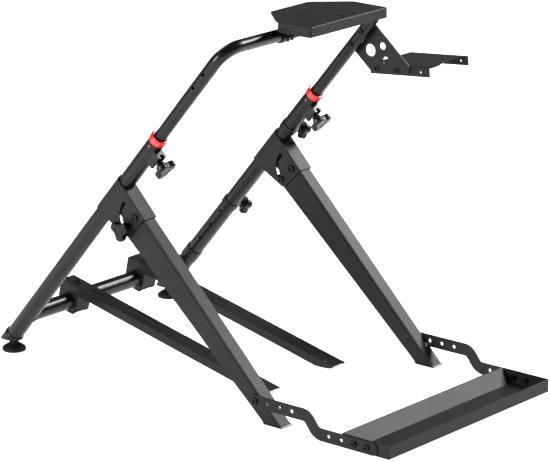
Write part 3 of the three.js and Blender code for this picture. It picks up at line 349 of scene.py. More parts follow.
def settle(obj):
    """Applies an object's modifiers to its mesh."""
    done = evaluated_mesh(obj)
    obj.modifiers.clear()
    old, obj.data = obj.data, done
    bpy.data.meshes.remove(old)
    for poly in done.polygons:
        poly.use_smooth = True
    return done


def piece(name, form, space, body, slot, nodes=(), mat=None, bevel=0.4, cuts=(), sharp=38):
    """One finished object: cut, edges rounded, shaded, dressed and riding on its body."""
    obj = linked(name, mesh_of(name, form, space))
    spare = []
    for i, (cut_form, cut_space, mode) in enumerate(cuts):
        cutter = linked(f"cutter{i}", mesh_of(f"cutter{i}", cut_form, cut_space))
        spare.append(cutter)
        trim = obj.modifiers.new("cut", "BOOLEAN")
        trim.operation, trim.solver, trim.object = mode, "EXACT", cutter
    for poly in obj.data.polygons:
        poly.use_smooth = True
    if bevel:
        edge = obj.modifiers.new("edge", "BEVEL")
        edge.width, edge.segments = bevel * MM, 2
        edge.limit_method, edge.angle_limit = "ANGLE", math.radians(50)
    settle(obj)
    for cutter in spare:
        bpy.data.objects.remove(cutter)
    obj.data.set_sharp_from_angle(angle=math.radians(sharp))
    weigh = obj.modifiers.new("weigh", "WEIGHTED_NORMAL")
    weigh.keep_sharp = True
    done = settle(obj)
    done.name = name
    done.materials.clear()
    done.materials.append(MATS[mat or slot])
    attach(obj, body)
    if nodes:
        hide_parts(*nodes)
    return obj


def bolt_head(form, radius, height, place, socket=0.5, dome=0.35):
    """A button head with a hexagonal socket, its seat at z = 0."""
    rim = [(radius, 0), (radius, height * (1 - dome)), (radius * 0.93, height * (1 - dome * 0.4)),
           (radius * 0.78, height), (radius * socket + 0.6, height)]
    sides = 36
    loops = [[(x, y, z) for x, y in circle(r, sides)] for r, z in [(0.001, 0), *rim]]
    for z in (height - 0.1, height * 0.35):
        ring = []
        for i in range(sides):
            a = 2 * math.pi * i / sides
            wedge = (a % (math.pi / 3)) - math.pi / 6
            r = radius * socket * math.cos(math.pi / 6) / math.cos(wedge)
            ring.append((r * math.cos(a), r * math.sin(a), z))
        loops.append(ring)
    loops.append([(x, y, height * 0.35) for x, y in circle(0.001, sides)])
    return form.loft(loops, place)


def hex_nut(form, radius, z0, z1, place):
    sides = 36
    loops = []
    for r_scale, z in ((0.92, z0), (1, z0 + 0.8), (1, z1 - 0.8), (0.9, z1)):
        ring = []
        for i in range(sides):
            a = 2 * math.pi * i / sides
            wedge = (a % (math.pi / 3)) - math.pi / 6
            r = min(radius * math.cos(math.pi / 6) / math.cos(wedge), radius * r_scale)
            ring.append((r * math.cos(a), r * math.sin(a), z))
        loops.append(ring)
    return form.loft(loops, place)


def thread(form, radius, z0, z1, place, pitch=1.25):
    count = int((z1 - z0) / pitch)
    profile = [(0, z0)]
    for i in range(count + 1):
        z = z0 + (z1 - z0) * i / count
        profile += [(radius, z)] if i == count else [(radius - 0.45, z), (radius, z + pitch * 0.45)]
    profile.append((0, z1))
    return form.lathe(profile, place, 24)


def knob(form, radius, place, spin=0.0):
    """A three-lobed hand knob: tapered ribbed hub below z = 0, lobes up to z = 17."""
    sides = 108
    levels = [(0.02, -6.0, 0), (8.0, -6.0, 0), (8.6, -5.4, 0), (11.4, 0.2, 0), (0.80, 0.4, 1), (0.93, 1.2, 1),
              (0.985, 2.8, 1), (1.0, 5.0, 1), (1.0, 11.8, 1), (0.985, 14.2, 1), (0.93, 15.8, 1),
              (0.84, 16.7, 1)]
    loops = []
    for size, z, lobed in levels:
        ring = []
        for i in range(sides):
            a = 2 * math.pi * i / sides
            wave = (1 + math.cos(3 * a)) / 2
            swell = wave * wave * (3 - 2 * wave)
            rib = 0.25 * math.cos(18 * a) if not lobed and z > -6 else 0
            r = size * radius * (0.60 + 0.40 * swell ** 0.8) if lobed else size + rib
            ring.append((r * math.cos(a + spin), r * math.sin(a + spin), z))
        loops.append(ring)
    angles = [2 * math.pi * i / sides + spin for i in range(sides)]
    for r, z in ((10.2, 16.9), (9.2, 16.7), (8.6, 15.6), (0.001, 15.9)):
        loops.append([(r * math.cos(a), r * math.sin(a), z) for a in angles])
    return form.loft(loops, place)


# ------------------------------------------------------------------ legs, cross tube, feet
def soft_ring(outer, inner, z0, z1, edge=1.0):
    return [(inner, z0), (outer - edge, z0), (outer - edge * 0.3, z0 + edge * 0.3), (outer, z0 + edge),
            (outer, z1 - edge), (outer - edge * 0.3, z1 - edge * 0.3), (outer - edge, z1), (inner, z1)]


for name, side in SIDES.items():
    x = side * LEG_X
    tube = Form().lathe([(LEG_R - LEG_WALL, LEG_START), (LEG_R, LEG_START), (LEG_R, LEG_END),
                         (LEG_R - LEG_WALL, LEG_END)],
                        move(x, 0, 0), 96, closed=True)
    cuts = []
    if side > 0:
        bores = Form()
        for station in LEG_BORES:
            bores.prism(circle(3.2, 24), -24, -12, to_x(x, 0, station))
        cuts = [(bores, LEG, "DIFFERENCE")]
    piece(f"leg_tube_{name}", tube, LEG, "leg_frame", "tube", [f"leg_tube_{name}"], cuts=cuts, bevel=0.3)

    cap = Form().lathe([(0, -40), (22, -40), (22, 51.6), (21.6, 54.0), (20.6, 55.4), (19, 55.7), (17.1, 55.7),
                        (17.1, 70), (0, 70)], move(x, 0, 0), 72)
    ground = Form().box(x - 80, x + 80, -140, 140, -90, 27.5)
    socket = Form().prism(circle(4.4, 24, x, -FOOT_BACK), -10, 47)
    piece(f"leg_end_cap_{name}", cap, LEG, "leg_frame", "plastic", [f"leg_end_cap_{name}"],
          cuts=[(ground, STAND, "DIFFERENCE"), (socket, STAND, "DIFFERENCE")], bevel=0.8)

    puck = Form().lathe([(0, 0), (24.6, 0), (26.2, 0.6), (26.9, 1.8), (27, 3.2), (27, 5.4), (26.4, 7.2),
                         (24.6, 9.4), (21.6, 11.6), (18, 13.8), (14.6, 15.8), (12.2, 17.6), (11, 19.4),
                         (11, 20.2), (0, 20.2)],
                        move(x, -FOOT_BACK, 0), 72)
    hex_nut(puck, 9.8, 20.2, 25.8, move(x, -FOOT_BACK, 0))
    thread(puck, 4, 24, 45.5, move(x, -FOOT_BACK, 0))
    for groove in range(24):
        a = groove * math.pi / 12
        puck.box(-1.1, 1.1, 26.4, 26.98, 1.2, 5.2,
                 move(x, -FOOT_BACK, 0) @ Matrix.Rotation(a, 4, "Z"))
    piece(f"levelling_foot_{name}", puck, STAND, f"foot_{name}", "rubber", [f"levelling_foot_{name}"],
          bevel=0.3)

    bottom = LEG_END + 0.3
    red = Form().lathe([(14.35, bottom), (19.6, bottom), (20.4, bottom + 0.6), (20.6, bottom + 1.6),
                        (20.6, bottom + 12.6), (20.2, bottom + 14.4), (19.2, bottom + 15.6),
                        (17.6, bottom + 16),
                        (15.4, bottom + 16), (14.35, bottom + 15.2)], move(x, 0, 0), 96, closed=True)
    for way in (-1, 1):
        red.lathe([(0, 0), (2.7, 0), (2.7, 1.9), (2.3, 2.3), (0, 2.4)],
                  to_x(x + way * 17, 0, LEG_END - 11, way), 32)
    red.lathe(soft_ring(17.1, 14.35, LEG_END - 25, LEG_END, 0.4), move(x, 0, 0), 72, closed=True)
    piece(f"collar_{name}", red, LEG, "leg_frame", "red", [f"collar_{name}"], bevel=0.0)

    arc = [(18.3 * math.cos(math.radians(a)), 18.3 * math.sin(math.radians(a)))
           for a in range(-45, -136, -10)]
    block = rounded([(-13, -12.9), (-13, -35, 3.5), (-5.5, -35, 1.5), (-5.5, -26), (5.5, -26),
                     (5.5, -35, 1.5),
                     (13, -35, 3.5), (13, -12.9)]) + arc
    boss = Form().prism(block, LEG_END - 49, LEG_END - 15, move(x, 0, 0))
    piece(f"clamp_boss_{name}", boss, LEG, "leg_frame", "tube", [f"clamp_boss_{name}"], bevel=1.2)

    hub = Form()
    place = aimed((x, -45, LEG_END - 32), (0, -1, 0))
    knob(hub, HEIGHT_KNOB_R, place, 0.5)
    thread(hub, 5, -30.5, -5, place)
    piece(f"height_knob_{name}", hub, LEG, f"height_knob_{name}", "plastic", [f"height_knob_{name}"],
          bevel=0.0, sharp=50)

cross = Form().lathe([(LEG_R - LEG_WALL, -CROSS_HALF), (LEG_R, -CROSS_HALF), (LEG_R, CROSS_HALF),
                      (LEG_R - LEG_WALL, CROSS_HALF)], to_x(0, 0, CROSS_AT), 96, closed=True)
piece("cross_tube", cross, LEG, "leg_frame", "tube", ["cross_tube"], bevel=0.3)
beads = Form()
for side in SIDES.values():
    for half in (-1, 1):
        route, sizes = [], []
        for k in range(61):
            phi = math.pi * k / 60
            y, z, reach = 19 * math.cos(phi), half * 19 * math.sin(phi), 19 * math.sin(phi)
            route.append((side * (LEG_X - reach), y, CROSS_AT + z))
            sizes.append(1.7 + 0.35 * math.cos(k * 1.9))
        beads.sweep(route, sizes, 12)
piece("weld_beads", beads, LEG, "leg_frame", "tube", mat="weld", bevel=0.0)

sleeve = Form().lathe(soft_ring(SLEEVE_OUT, SLEEVE_IN, *SLEEVE_RUN, 0.6), move(LEG_X, 0, 0), 96, closed=True)
sleeve.box(LEG_X - 22.2, LEG_X - 20.2, -3.5, 3.5, 168, 182)
piece("leg_sleeve", sleeve, LEG, "leg_frame", "plastic", ["leg_sleeve"], bevel=0.0)

ring_out = Vector((math.sin(math.radians(62)), -math.cos(math.radians(62)), 0))
for name, station in zip(("upper", "lower"), RING_STATIONS):
    band = Form().lathe(soft_ring(SLEEVE_OUT, SLEEVE_IN, station - 9, station + 9, 0.6),
                        move(LEG_X, 0, 0), 96, closed=True)
    band.lathe([(0, 19.6), (6.5, 19.6), (6.5, 23.6), (6, 24), (0, 24)],
               aimed((LEG_X, 0, station), ring_out), 40)
    piece(f"clamp_ring_{name}", band, LEG, "leg_frame", "plastic", [f"clamp_ring_{name}"], bevel=0.0)
    grip = Form()
    place = aimed(Vector((LEG_X, 0, station)) + ring_out * 30.3, ring_out)
    knob(grip, RING_KNOB_R, place, 1.1)
    thread(grip, 3.5, -10.8, -5, place, 1.0)
    piece(f"ring_knob_{name}", grip, LEG, f"ring_knob_{name}", "plastic", [f"ring_knob_{name}"],
          bevel=0.0, sharp=50)


# ------------------------------------------------------------------ folding brackets
def from_beam(along, depth):
    y, z = turned(depth, -along, BEAM_TURN - LEG_TURN)
    return y + PIVOT[0], z + PIVOT[1]


def arc_slot(half=4.3, start=-86.5, end=1.5):
    y, z = PIVOT

    def run(radius, a0, a1, cy, cz, steps):
        return [(cy + radius * math.cos(math.radians(a0 + (a1 - a0) * k / steps)),
                 cz + radius * math.sin(math.radians(a0 + (a1 - a0) * k / steps))) for k in range(steps)]

    def tip(a):
        return y + LOCK_REACH * math.cos(math.radians(a)), z + LOCK_REACH * math.sin(math.radians(a))

    return (run(LOCK_REACH + half, start, end, y, z, 24) + run(half, end, end + 180, *tip(end), 10)
            + run(LOCK_REACH - half, end, start, y, z, 24)
            + run(half, start + 180, start + 360, *tip(start), 10))


low_web, high_web = Vector(from_beam(18, -WEB_OUT)), Vector((-5.0, BRACKET_TOP))
along_web = (high_web - low_web).normalized()
down_web = Vector((along_web.y, -along_web.x))
BEND = 4.0
WRAP_SLOPE = 0.1995
for name, side in SIDES.items():
    x = side * LEG_X
    form = Form()
    near_low, near_high = low_web + down_web * BEND, high_web + down_web * BEND
    outline = rounded([(0, BRACKET_TOP), (near_high.x + 4, BRACKET_TOP), tuple(near_high), tuple(near_low),
                       (*from_beam(18, LOCK_REACH + 9), 8), (0, BRACKET_BOTTOM)])
    holes = [circle(5.3, 32, *PIVOT), arc_slot()]
    for way in (-1, 1):
        x0, x1 = sorted((way * CHEEK_IN, way * CHEEK_OUT))
        form.sheet(outline, holes, x + x0, x + x1, yz_plane())
    wrap = [(CHEEK_OUT * math.cos(math.pi * k / 40), CHEEK_OUT * math.sin(math.pi * k / 40))
            for k in range(41)]
    wrap += [(CHEEK_IN * math.cos(math.pi * k / 40), CHEEK_IN * math.sin(math.pi * k / 40))
             for k in range(40, -1, -1)]
    form.loft([[(u, v, BRACKET_BOTTOM - WRAP_SLOPE * v) for u, v in wrap],
               [(u, v, BRACKET_TOP) for u, v in wrap]], move(x, 0, 0))
    outer = rounded([(-CHEEK_OUT, -BEND), (-CHEEK_OUT, 0, 3.4), (CHEEK_OUT, 0, 3.4), (CHEEK_OUT, -BEND)])
    inner = rounded([(CHEEK_IN, -BEND), (CHEEK_IN, -2.5, 1.2), (-CHEEK_IN, -2.5, 1.2), (-CHEEK_IN, -BEND)])
    section = outer + inner
    form.loft([[(x + u, p.x - down_web.x * v, p.y - down_web.y * v) for u, v in section]
               for p in (low_web, high_web)])
    piece(f"hinge_bracket_{name}", form, LEG, "leg_frame", "powder", [f"hinge_bracket_{name}"], bevel=0.35)

    pin = Form()
    bolt_head(pin, 9, 5, to_x(x - CHEEK_OUT - 0.3, 0, 0, -1))
    pin.lathe([(0, -1), (5, -1), (5, 32), (0, 32)], to_x(x - CHEEK_OUT - 0.6, 0, 0), 32)
    thread(pin, 5, 43, 53.5, to_x(x - CHEEK_OUT - 0.6, 0, 0))
    piece(f"pivot_bolt_{name}", pin, BEAM, "leg_frame", "bolt", [f"pivot_bolt_{name}"], bevel=0.0)
    nut = Form().lathe([(5.2, 0), (10.2, 0), (10.5, 0.3), (10.5, 1.7), (10.2, 2), (5.2, 2)],
                       to_x(x + CHEEK_OUT + 0.3, 0, 0), 48, closed=True)
    hex_nut(nut, 9.5, 2, 9, to_x(x + CHEEK_OUT + 0.3, 0, 0))
    piece(f"pivot_nut_{name}", nut, BEAM, "leg_frame", "bolt", [f"pivot_nut_{name}"], bevel=0.0)
    bush = Form().lathe([(5.3, -18.9), (8, -18.9), (8, 18.9), (5.3, 18.9)], to_x(x, 0, 0), 40, closed=True)
    piece(f"pivot_bush_{name}", bush, BEAM, "support_frame", "plastic", [f"pivot_bush_{name}"])
    lock = Form()
    bolt_head(lock, 8, 4.6, to_x(x - side * (CHEEK_OUT + 0.3), LOCK_REACH, 0, -side))
    thread(lock, 4, -1, 56, to_x(x - side * (CHEEK_OUT + 0.3), LOCK_REACH, 0, side))
    piece(f"lock_bolt_{name}", lock, BEAM, "support_frame", "bolt", [f"lock_bolt_{name}"], bevel=0.0)
    grip = Form()
    knob(grip, LOCK_KNOB_R, to_x(side * (LEG_X + CHEEK_OUT + 6.3), LOCK_REACH, 0, side), 0.35)
    piece(f"lock_knob_{name}", grip, BEAM, f"lock_knob_{name}", "plastic", [f"lock_knob_{name}"],
          bevel=0.0, sharp=50)


# ------------------------------------------------------------------ support beams
def beam_section(front):
    """A channel open to +Y, as (x, depth) points, with a seam beside its driver's edge."""
    h, back, t = BEAM_HALF, -BEAM_BACK, 2.0
    left = [(-h, front), (-h, back + 6.0), (-h + 1.4, back + 5.6), (-h + 1.4, back + 4.4), (-h, back + 4.0)]
    bends = rounded([(-h, back + 7), (-h, back, 2.6), (h, back, 2.6), (h, back + 7)], 4)[1:-1]
    outer = left + bends + [(h, front)]
    inner = [(h - t, front), (h - t, back + t), (-h + t, back + t), (-h + t, front)]
    return outer + inner


for name, side in SIDES.items():
    x = side * LEG_X
    sections = [beam_section(19), beam_section(53.5), beam_section(52.5)]
    loops = [[(x + u, v, beam_station(v, 4)) for u, v in sections[0]],
             [(x + u, v, 0) for u, v in sections[1]],
             [(x + u, v, 14) for u, v in sections[2]]]
    form = Form().loft(loops)
    piece(f"beam_{name}", form, BEAM, "support_frame", "powder", [f"beam_{name}"], bevel=0.3)
    shoe = Form()
    sole = [(-16, 0), (-16, 3.7), (20, 3.7), (20, 0)]
    shoe.prism([(d, beam_station(d, h)) for d, h in sole], x - 18.5, x + 18.5, yz_plane())
    plug = [(-12.7, 3), (-12.7, 16), (18, 16), (18, 3)]
    shoe.prism([(d, beam_station(d, h)) for d, h in plug], x - 15.2, x + 15.2, yz_plane())
    piece(f"beam_foot_{name}", shoe, BEAM, "support_frame", "plastic", [f"beam_foot_{name}"], bevel=0.8)
    screws = Form()
    for way in (-1, 1):
        bolt_head(screws, 3.0, 0.8, aimed((x + way * 6, -BEAM_BACK, beam_station(-BEAM_BACK, 4) + 20),
                                          (0, -1, 0)))
    piece(f"beam_screws_{name}", screws, BEAM, "support_frame", "bolt", bevel=0.0)


# ------------------------------------------------------------------ side bars and tray
def bar_outline():
    slope, half, steps = math.radians(52), 14.0, 12
    radius = (50 - BAR_DROP / math.tan(slope)) / (2 * math.tan(slope / 2))
    line = [(0, 0, 0)]
    for k in range(steps + 1):
        a = slope * k / steps
        line.append((132 + radius * math.sin(a), -radius * (1 - math.cos(a)), a))
    for k in range(steps, -1, -1):
        a = slope * k / steps
        line.append((182 - radius * math.sin(a), -BAR_DROP + radius * (1 - math.cos(a)), a))
    line.append((BAR_END, -BAR_DROP, 0))

    def edge(way):
        return [(-r - way * half * math.sin(a), z + way * half * math.cos(a)) for r, z, a in line]

    def cap(cx, cy, a0):
        return [(cx + half * math.cos(a0 + math.pi * k / 20), cy + half * math.sin(a0 + math.pi * k / 20))
                for k in range(1, 20)]

    return cap(0, 0, -math.pi / 2) + edge(1) + cap(-BAR_END, -BAR_DROP, math.pi / 2) + edge(-1)[::-1]


for name, side in SIDES.items():
    x0, x1 = sorted((side * BAR_IN, side * BAR_OUT))
    holes = [circle(4.3, 28, -k * 34.0, 0) for k in range(4)]
    holes += [circle(4.0, 28, -(BAR_END - 14 - k * 34.0), -BAR_DROP) for k in (2, 3)]
    form = Form().sheet(bar_outline(), holes, x0, x1, yz_plane())
    piece(f"side_bar_{name}", form, TRAY, "tray_frame", "powder", [f"side_bar_{name}"], bevel=0.5)
    head = Form()
    bolt_head(head, 7.5, 4.2, to_x(side * (BAR_OUT + 0.3), 0, 0, side))
    head.lathe([(0, 0), (4, 0), (4, 40), (0, 40)], to_x(side * (BAR_OUT + 0.5), 0, 0, -side), 28)
    piece(f"tray_hinge_bolt_{name}", head, TRAY, "support_frame", "bolt", [f"tray_hinge_bolt_{name}"],
          bevel=0.0)
    for run, where in zip(TRAY_BOLTS, ("front", "rear")):
        head = Form()
        bolt_head(head, 7.5, 4.2, to_x(side * (BAR_OUT + 0.3), -run, -BAR_DROP, side))
        head.lathe([(0, 0), (4, 0), (4, 4.5), (0, 4.5)],
                   to_x(side * (BAR_OUT + 0.5), -run, -BAR_DROP, -side), 28)
        hex_nut(head, 6.6, 0, 5.5, to_x(side * 279.3, -run, -BAR_DROP, -side))
        piece(f"tray_bolt_{where}_{name}", head, TRAY, "tray_frame", "bolt",
              [f"tray_bolt_{where}_{name}"], bevel=0.0)

tray_bend = TRAY_FRONT + TRAY_FLAT
wall = [(TRAY_FRONT, TRAY_TOP), (TRAY_FRONT, TRAY_FLOOR, 3.2), (tray_bend, TRAY_FLOOR, 3.2),
        (TRAY_FRONT + TRAY_RUN, TRAY_TOP), (TRAY_FRONT + TRAY_RUN - 2.9, TRAY_TOP),
        (tray_bend - 0.9, TRAY_FLOOR + TRAY_SHEET, 2),
        (TRAY_FRONT + TRAY_SHEET, TRAY_FLOOR + TRAY_SHEET, 1.4), (TRAY_FRONT + TRAY_SHEET, TRAY_TOP)]
form = Form().prism(rounded(wall), -279.2, 279.2, yz_plane())
for side in (-1, 1):
    x0, x1 = sorted((side * 279.5, side * 281.5))
    form.prism(rounded([(TRAY_FRONT, TRAY_TOP, 1.5), (TRAY_FRONT, TRAY_FLOOR, 2),
                        (TRAY_FRONT + TRAY_FLAT, TRAY_FLOOR, 2),
                        (TRAY_FRONT + TRAY_RUN, TRAY_TOP, 1.5)]), x0, x1, yz_plane())
    lip = sorted((side * 276.0, side * 279.6))
    form.prism(rounded([(TRAY_FRONT + 3, TRAY_FLOOR + 2.0), (TRAY_FRONT + 3, TRAY_FLOOR + 3.2),
                        (TRAY_FRONT + 96, TRAY_FLOOR + 3.2),
                        (TRAY_FRONT + 96, TRAY_FLOOR + 2.0)]), *lip, yz_plane())
piece("tray", form, TRAY, "tray_frame", "powder", ["tray"], bevel=0.5)


# ------------------------------------------------------------------ pedal rails
def rail_floor(y):
    return (-CROSS[1] - y * math.sin(math.radians(RAIL_TURN))) / math.cos(math.radians(RAIL_TURN))


def rail_skirt():
    """Lower edge of a rail's sides as (y, z), from the cross tube's end to the driver's end."""
    tip, skirt = -601.0, 23.0
    heel = tip + 30
    meets = (-CROSS[1] - skirt * math.cos(math.radians(RAIL_TURN))) / math.sin(math.radians(RAIL_TURN))
    points = [(32, -11.5), (24, -27.5), (-18, -27.5), (-26, -19.5), (-26.1, skirt)]
    points += [(meets, skirt), (heel, rail_floor(heel))]
    start, end = Vector((heel, rail_floor(heel))), Vector((tip, RAIL_TOP - 4))
    ctrl = Vector((tip + 8, rail_floor(tip + 8)))
    points += [tuple(start * (1 - t) ** 2 + ctrl * 2 * t * (1 - t) + end * t * t)
               for t in (0.2, 0.4, 0.6, 0.8, 1)]
    return points


for name, side in SIDES.items():
    x = side * RAIL_X
    skirt = rail_skirt()
    half, t = RAIL_HALF, RAIL_SHEET
    loops = []
    for y, low in skirt:
        low = min(low, RAIL_TOP - 4)
        corners = [(-half, low), (-half, RAIL_TOP, 2.8), (half, RAIL_TOP, 2.8), (half, low)]
        outer = [(-half, low)] + rounded(corners, 4)[1:-1] + [(half, low)]
        inner = [(half - t, low), (half - t, RAIL_TOP - t), (-half + t, RAIL_TOP - t), (-half + t, low)]
        loops.append([(x + u, y, z) for u, z in outer + inner])
    form = Form().loft(loops)
    form.box(x - 20.2, x + 20.2, -26, -24, -19.5, RAIL_TOP - 1.9)
    holes = Form()
    for y in (-42, -294):
        holes.prism(slot_loop(x, y - 229, x, y - 3, 6.5), RAIL_TOP - 9, RAIL_TOP + 9)
    for way in (-1, 1):
        holes.prism(circle(2.6, 24, x + way * 15.5, -574), RAIL_TOP - 9, RAIL_TOP + 9)
    tunnel = Form().prism(circle(RAIL_TUNNEL, 64), -60, 60, to_x(x, 0, 0))
    piece(f"pedal_rail_{name}", form, RAIL, f"rail_{name}", "powder", [f"pedal_rail_{name}"],
          cuts=[(holes, RAIL, "DIFFERENCE"), (tunnel, RAIL, "DIFFERENCE")], bevel=0.35)
    sleeve = Form().lathe(soft_ring(21.5, 19.3, -25, 25, 0.5), to_x(x, 0, 0), 80, closed=True)
    piece(f"rail_liner_{name}", sleeve, RAIL, f"rail_carriage_{name}", "plastic",
          [f"rail_liner_{name}"], bevel=0.0)
    clamp = Form().box(x - 19.6, x + 19.6, -22, 22, 4, 37.6)
    piece(f"rail_clamp_{name}", clamp, RAIL, f"rail_{name}", "powder", [f"rail_clamp_{name}"],
          cuts=[(tunnel, RAIL, "DIFFERENCE")], bevel=0.4)
    head = Form()
    bolt_head(head, 7.5, 4.3, move(x, 0, RAIL_TOP + 0.1))
    piece(f"rail_bolt_{name}", head, RAIL, f"rail_{name}", "bolt", bevel=0.0)


# ------------------------------------------------------------------ hoop
def hoop_route():
    start, turn = LEG_END - 200, HOOP_TOP - HOOP_BEND
    half = [(-LEG_X, 0, start), (-LEG_X, 0, turn - 0.5)]
    for k in range(25):
        a = math.pi / 2 * k / 24
        half.append((-LEG_X + HOOP_BEND * (1 - math.cos(a)), 0, turn + HOOP_BEND * math.sin(a)))
    half.append((-LEG_X + HOOP_BEND + 0.5, 0, HOOP_TOP))
    return half + [(-px, py, pz) for px, py, pz in reversed(half)]


form = Form().sweep(hoop_route(), HOOP_R, 72)
bores = Form()
for station in GUSSET_BOLTS:
    bores.prism(circle(4.3, 28), -20, -9, to_x(-LEG_X, 0, station))
    bores.prism(circle(4.3, 28), 9, 20, to_x(-LEG_X, 0, station))
piece("hoop_tube", form, LEG, "hoop", "tube", ["hoop_tube"], cuts=[(bores, LEG, "DIFFERENCE")], bevel=0.0)


# ------------------------------------------------------------------ wheel plate and saddle
def plate_loop(inset):
    """The wheel plate's outline, moved inwards by an inset."""
    corners = [(-131, -123, 6), (131, -123, 6), (131, -29, 9), (64, 45, 9), (-64, 45, 9), (-131, -29, 9)]
    loop = rounded(corners, 6)
    if not inset:
        return loop
    moved = []
    for i, p in enumerate(loop):
        a, b = Vector(loop[i - 1]), Vector(loop[(i + 1) % len(loop)])
        along = (b - a).normalized()
        moved.append((p[0] - along.y * inset, p[1] + along.x * inset))
    return moved


levels = [(0, 19.5), (0, PLATE_TOP - 3.2), (0.24, PLATE_TOP - 2), (0.94, PLATE_TOP - 0.94),
          (2, PLATE_TOP - 0.24),
          (3.2, PLATE_TOP)]
form = Form().loft([[(u, v, z) for u, v in plate_loop(inset)] for inset, z in levels])
room = Form().box(-128, 128, -120, 120, 0, PLATE_TOP - 3)
behind = Form().box(-200, 200, -33, 120, 0, PLATE_TOP - 3)
holes = Form()
for hx, hy in [(44.5, -25), (44.5, -38), (44.5, -70), (44.5, -99), (76, -46), (38, 28)]:
    for way in (-1, 1):
        holes.prism(circle(3.2, 28, way * hx, hy), PLATE_TOP - 9, PLATE_TOP + 5)
holes.prism(slot_loop(0, -106, 0, -91, 8), PLATE_TOP - 9, PLATE_TOP + 5)
pins = Form()
for y in (-43, -68, -94):
    pins.prism(circle(2.8, 24), -150, 150, to_x(0, y, PLATE_TOP - 15))
relief = Form()
for way in (-1, 1):
    relief.box(*sorted((way * 127, way * 135)), -119.8, -118.4, 10, 33)
piece("wheel_plate", form, PLATE, "wheel_deck", "powder", ["wheel_plate"], bevel=0.35,
      cuts=[(room, PLATE, "DIFFERENCE"), (behind, PLATE, "DIFFERENCE"), (holes, PLATE, "DIFFERENCE"),
            (pins, PLATE, "DIFFERENCE"), (relief, PLATE, "DIFFERENCE")])

deck_top = PLATE_TOP - 3.3
form = Form().box(-61.5, 61.5, -97, 17.3, deck_top - 3, deck_top)
for side in (-1, 1):
    x = side * 60
    cheek = rounded([(17.3, deck_top - 2.9), (17.3, -14, 3), (4, -22.5, 4), (-35, -5, 6),
                     (-97, deck_top - 9, 3),
                     (-97, deck_top - 2.9)])
    form.sheet(cheek, [circle(2.5, 24, -21, -4)], x - 1.5, x + 1.5, yz_plane())
    u0, u1 = sorted((side * 60, side * 89.8))
    form.box(u0, u1, -26, 17.2, 0.15, 3.0)
    form.box(u0, u1, -17.3, -14.3, 0.2, deck_top - 0.1)
bar = Form().prism(circle(HOOP_R + 0.3, 64), -200, 200, to_x(0, 0, 0))
piece("plate_saddle", form, PLATE, "wheel_deck", "powder", ["plate_saddle"],
      cuts=[(bar, PLATE, "DIFFERENCE")], bevel=0.3)
for name, side in SIDES.items():
    x = side * 75.8
    r_in, r_out = 14.3, 17.3
    shell = [(r_out * math.cos(a), r_out * math.sin(a))
             for a in [math.pi + math.pi * k / 32 for k in range(32)]]
    bore = [(r_in * math.cos(a), r_in * math.sin(a))
            for a in [2 * math.pi - math.pi * k / 32 for k in range(1, 32)]]
    outline = [(-26, -0.2), (-26, -3), (-17.0, -3)] + [p for p in shell if p[1] < -3.2]
    outline += [(17.3, -0.2), (14.3, -0.2)] + bore + [(-14.3, -0.2)]
    form = Form().prism(outline, x - 14, x + 14, yz_plane())
    piece(f"saddle_strap_{name}", form, PLATE, "wheel_deck", "powder", [f"saddle_strap_{name}"], bevel=0.3)
    form = Form()
    for shift in (-7, 8):
        place = move(x + side * shift, -21.7, 0)
        bolt_head(form, 4, 3.4, place @ move(0, 0, 3.1))
        hex_nut(form, 4.2, 3.1, 6.6, place @ turn_x(180))
        thread(form, 2.5, 6.4, 11, place @ turn_x(180), 1.0)
    piece(f"saddle_bolts_{name}", form, PLATE, "wheel_deck", "bolt", bevel=0.0)


# ------------------------------------------------------------------ gear shifter bracket
def shifter_to_leg(y, z):
    dy, dz = turned(y, z, SHIFTER_TURN)
    return turned(SHIFT_Y + dy, SHIFT_Z + dz, -LEG_TURN)


def lower_edge(station):
    (y0, z0), (y1, z1) = shifter_to_leg(0, -20), shifter_to_leg(100, -20)
    return y0 + (station - z0) / (z1 - z0) * (y1 - y0), station


outline = rounded([(16, 990, 4), (-135, 990, 9), (*lower_edge(972), 8), (*lower_edge(900), 8),
                   (16, 900, 4)], 8)
holes = [circle(14, 48, -35.5, 935), circle(8.5, 40, -52.7, 968), circle(8.7, 40, -80, 950)]
form = Form().sheet(outline, holes, GUSSET_IN, GUSSET_OUT, yz_plane())
piece("shifter_gusset", form, LEG, "hoop", "powder", ["shifter_gusset"], bevel=0.5)
for name, station in zip(("upper", "lower"), GUSSET_BOLTS):
    form = Form()
    inner_x = LEG_X - HOOP_R
    bolt_head(form, 6.5, 4.0, to_x(inner_x + 0.2, 0, station, -1))
    form.lathe([(6.2, 0), (7.6, 0), (7.6, 1), (6.2, 1)], to_x(inner_x + 1.2, 0, station, -1), 40, closed=True)
    hex_nut(form, 6.4, 0, 6, to_x(GUSSET_OUT + 0.1, 0, station, 1))
    form.lathe([(0, 0), (4, 0), (4, 7.6), (0, 7.6)], to_x(GUSSET_OUT - 0.8, 0, station, 1), 28)
    piece(f"gusset_bolt_{name}", form, LEG, "hoop", "bolt", [f"gusset_bolt_{name}"], bevel=0.0)


def bezier(p0, p1, p2, p3, steps=12):
    pts = [Vector(p) for p in (p0, p1, p2, p3)]
    return [tuple(pts[0] * (1 - t) ** 3 + pts[1] * 3 * t * (1 - t) ** 2 + pts[2] * 3 * t * t * (1 - t)
                  + pts[3] * t ** 3)
            for t in [k / steps for k in range(1, steps + 1)]]


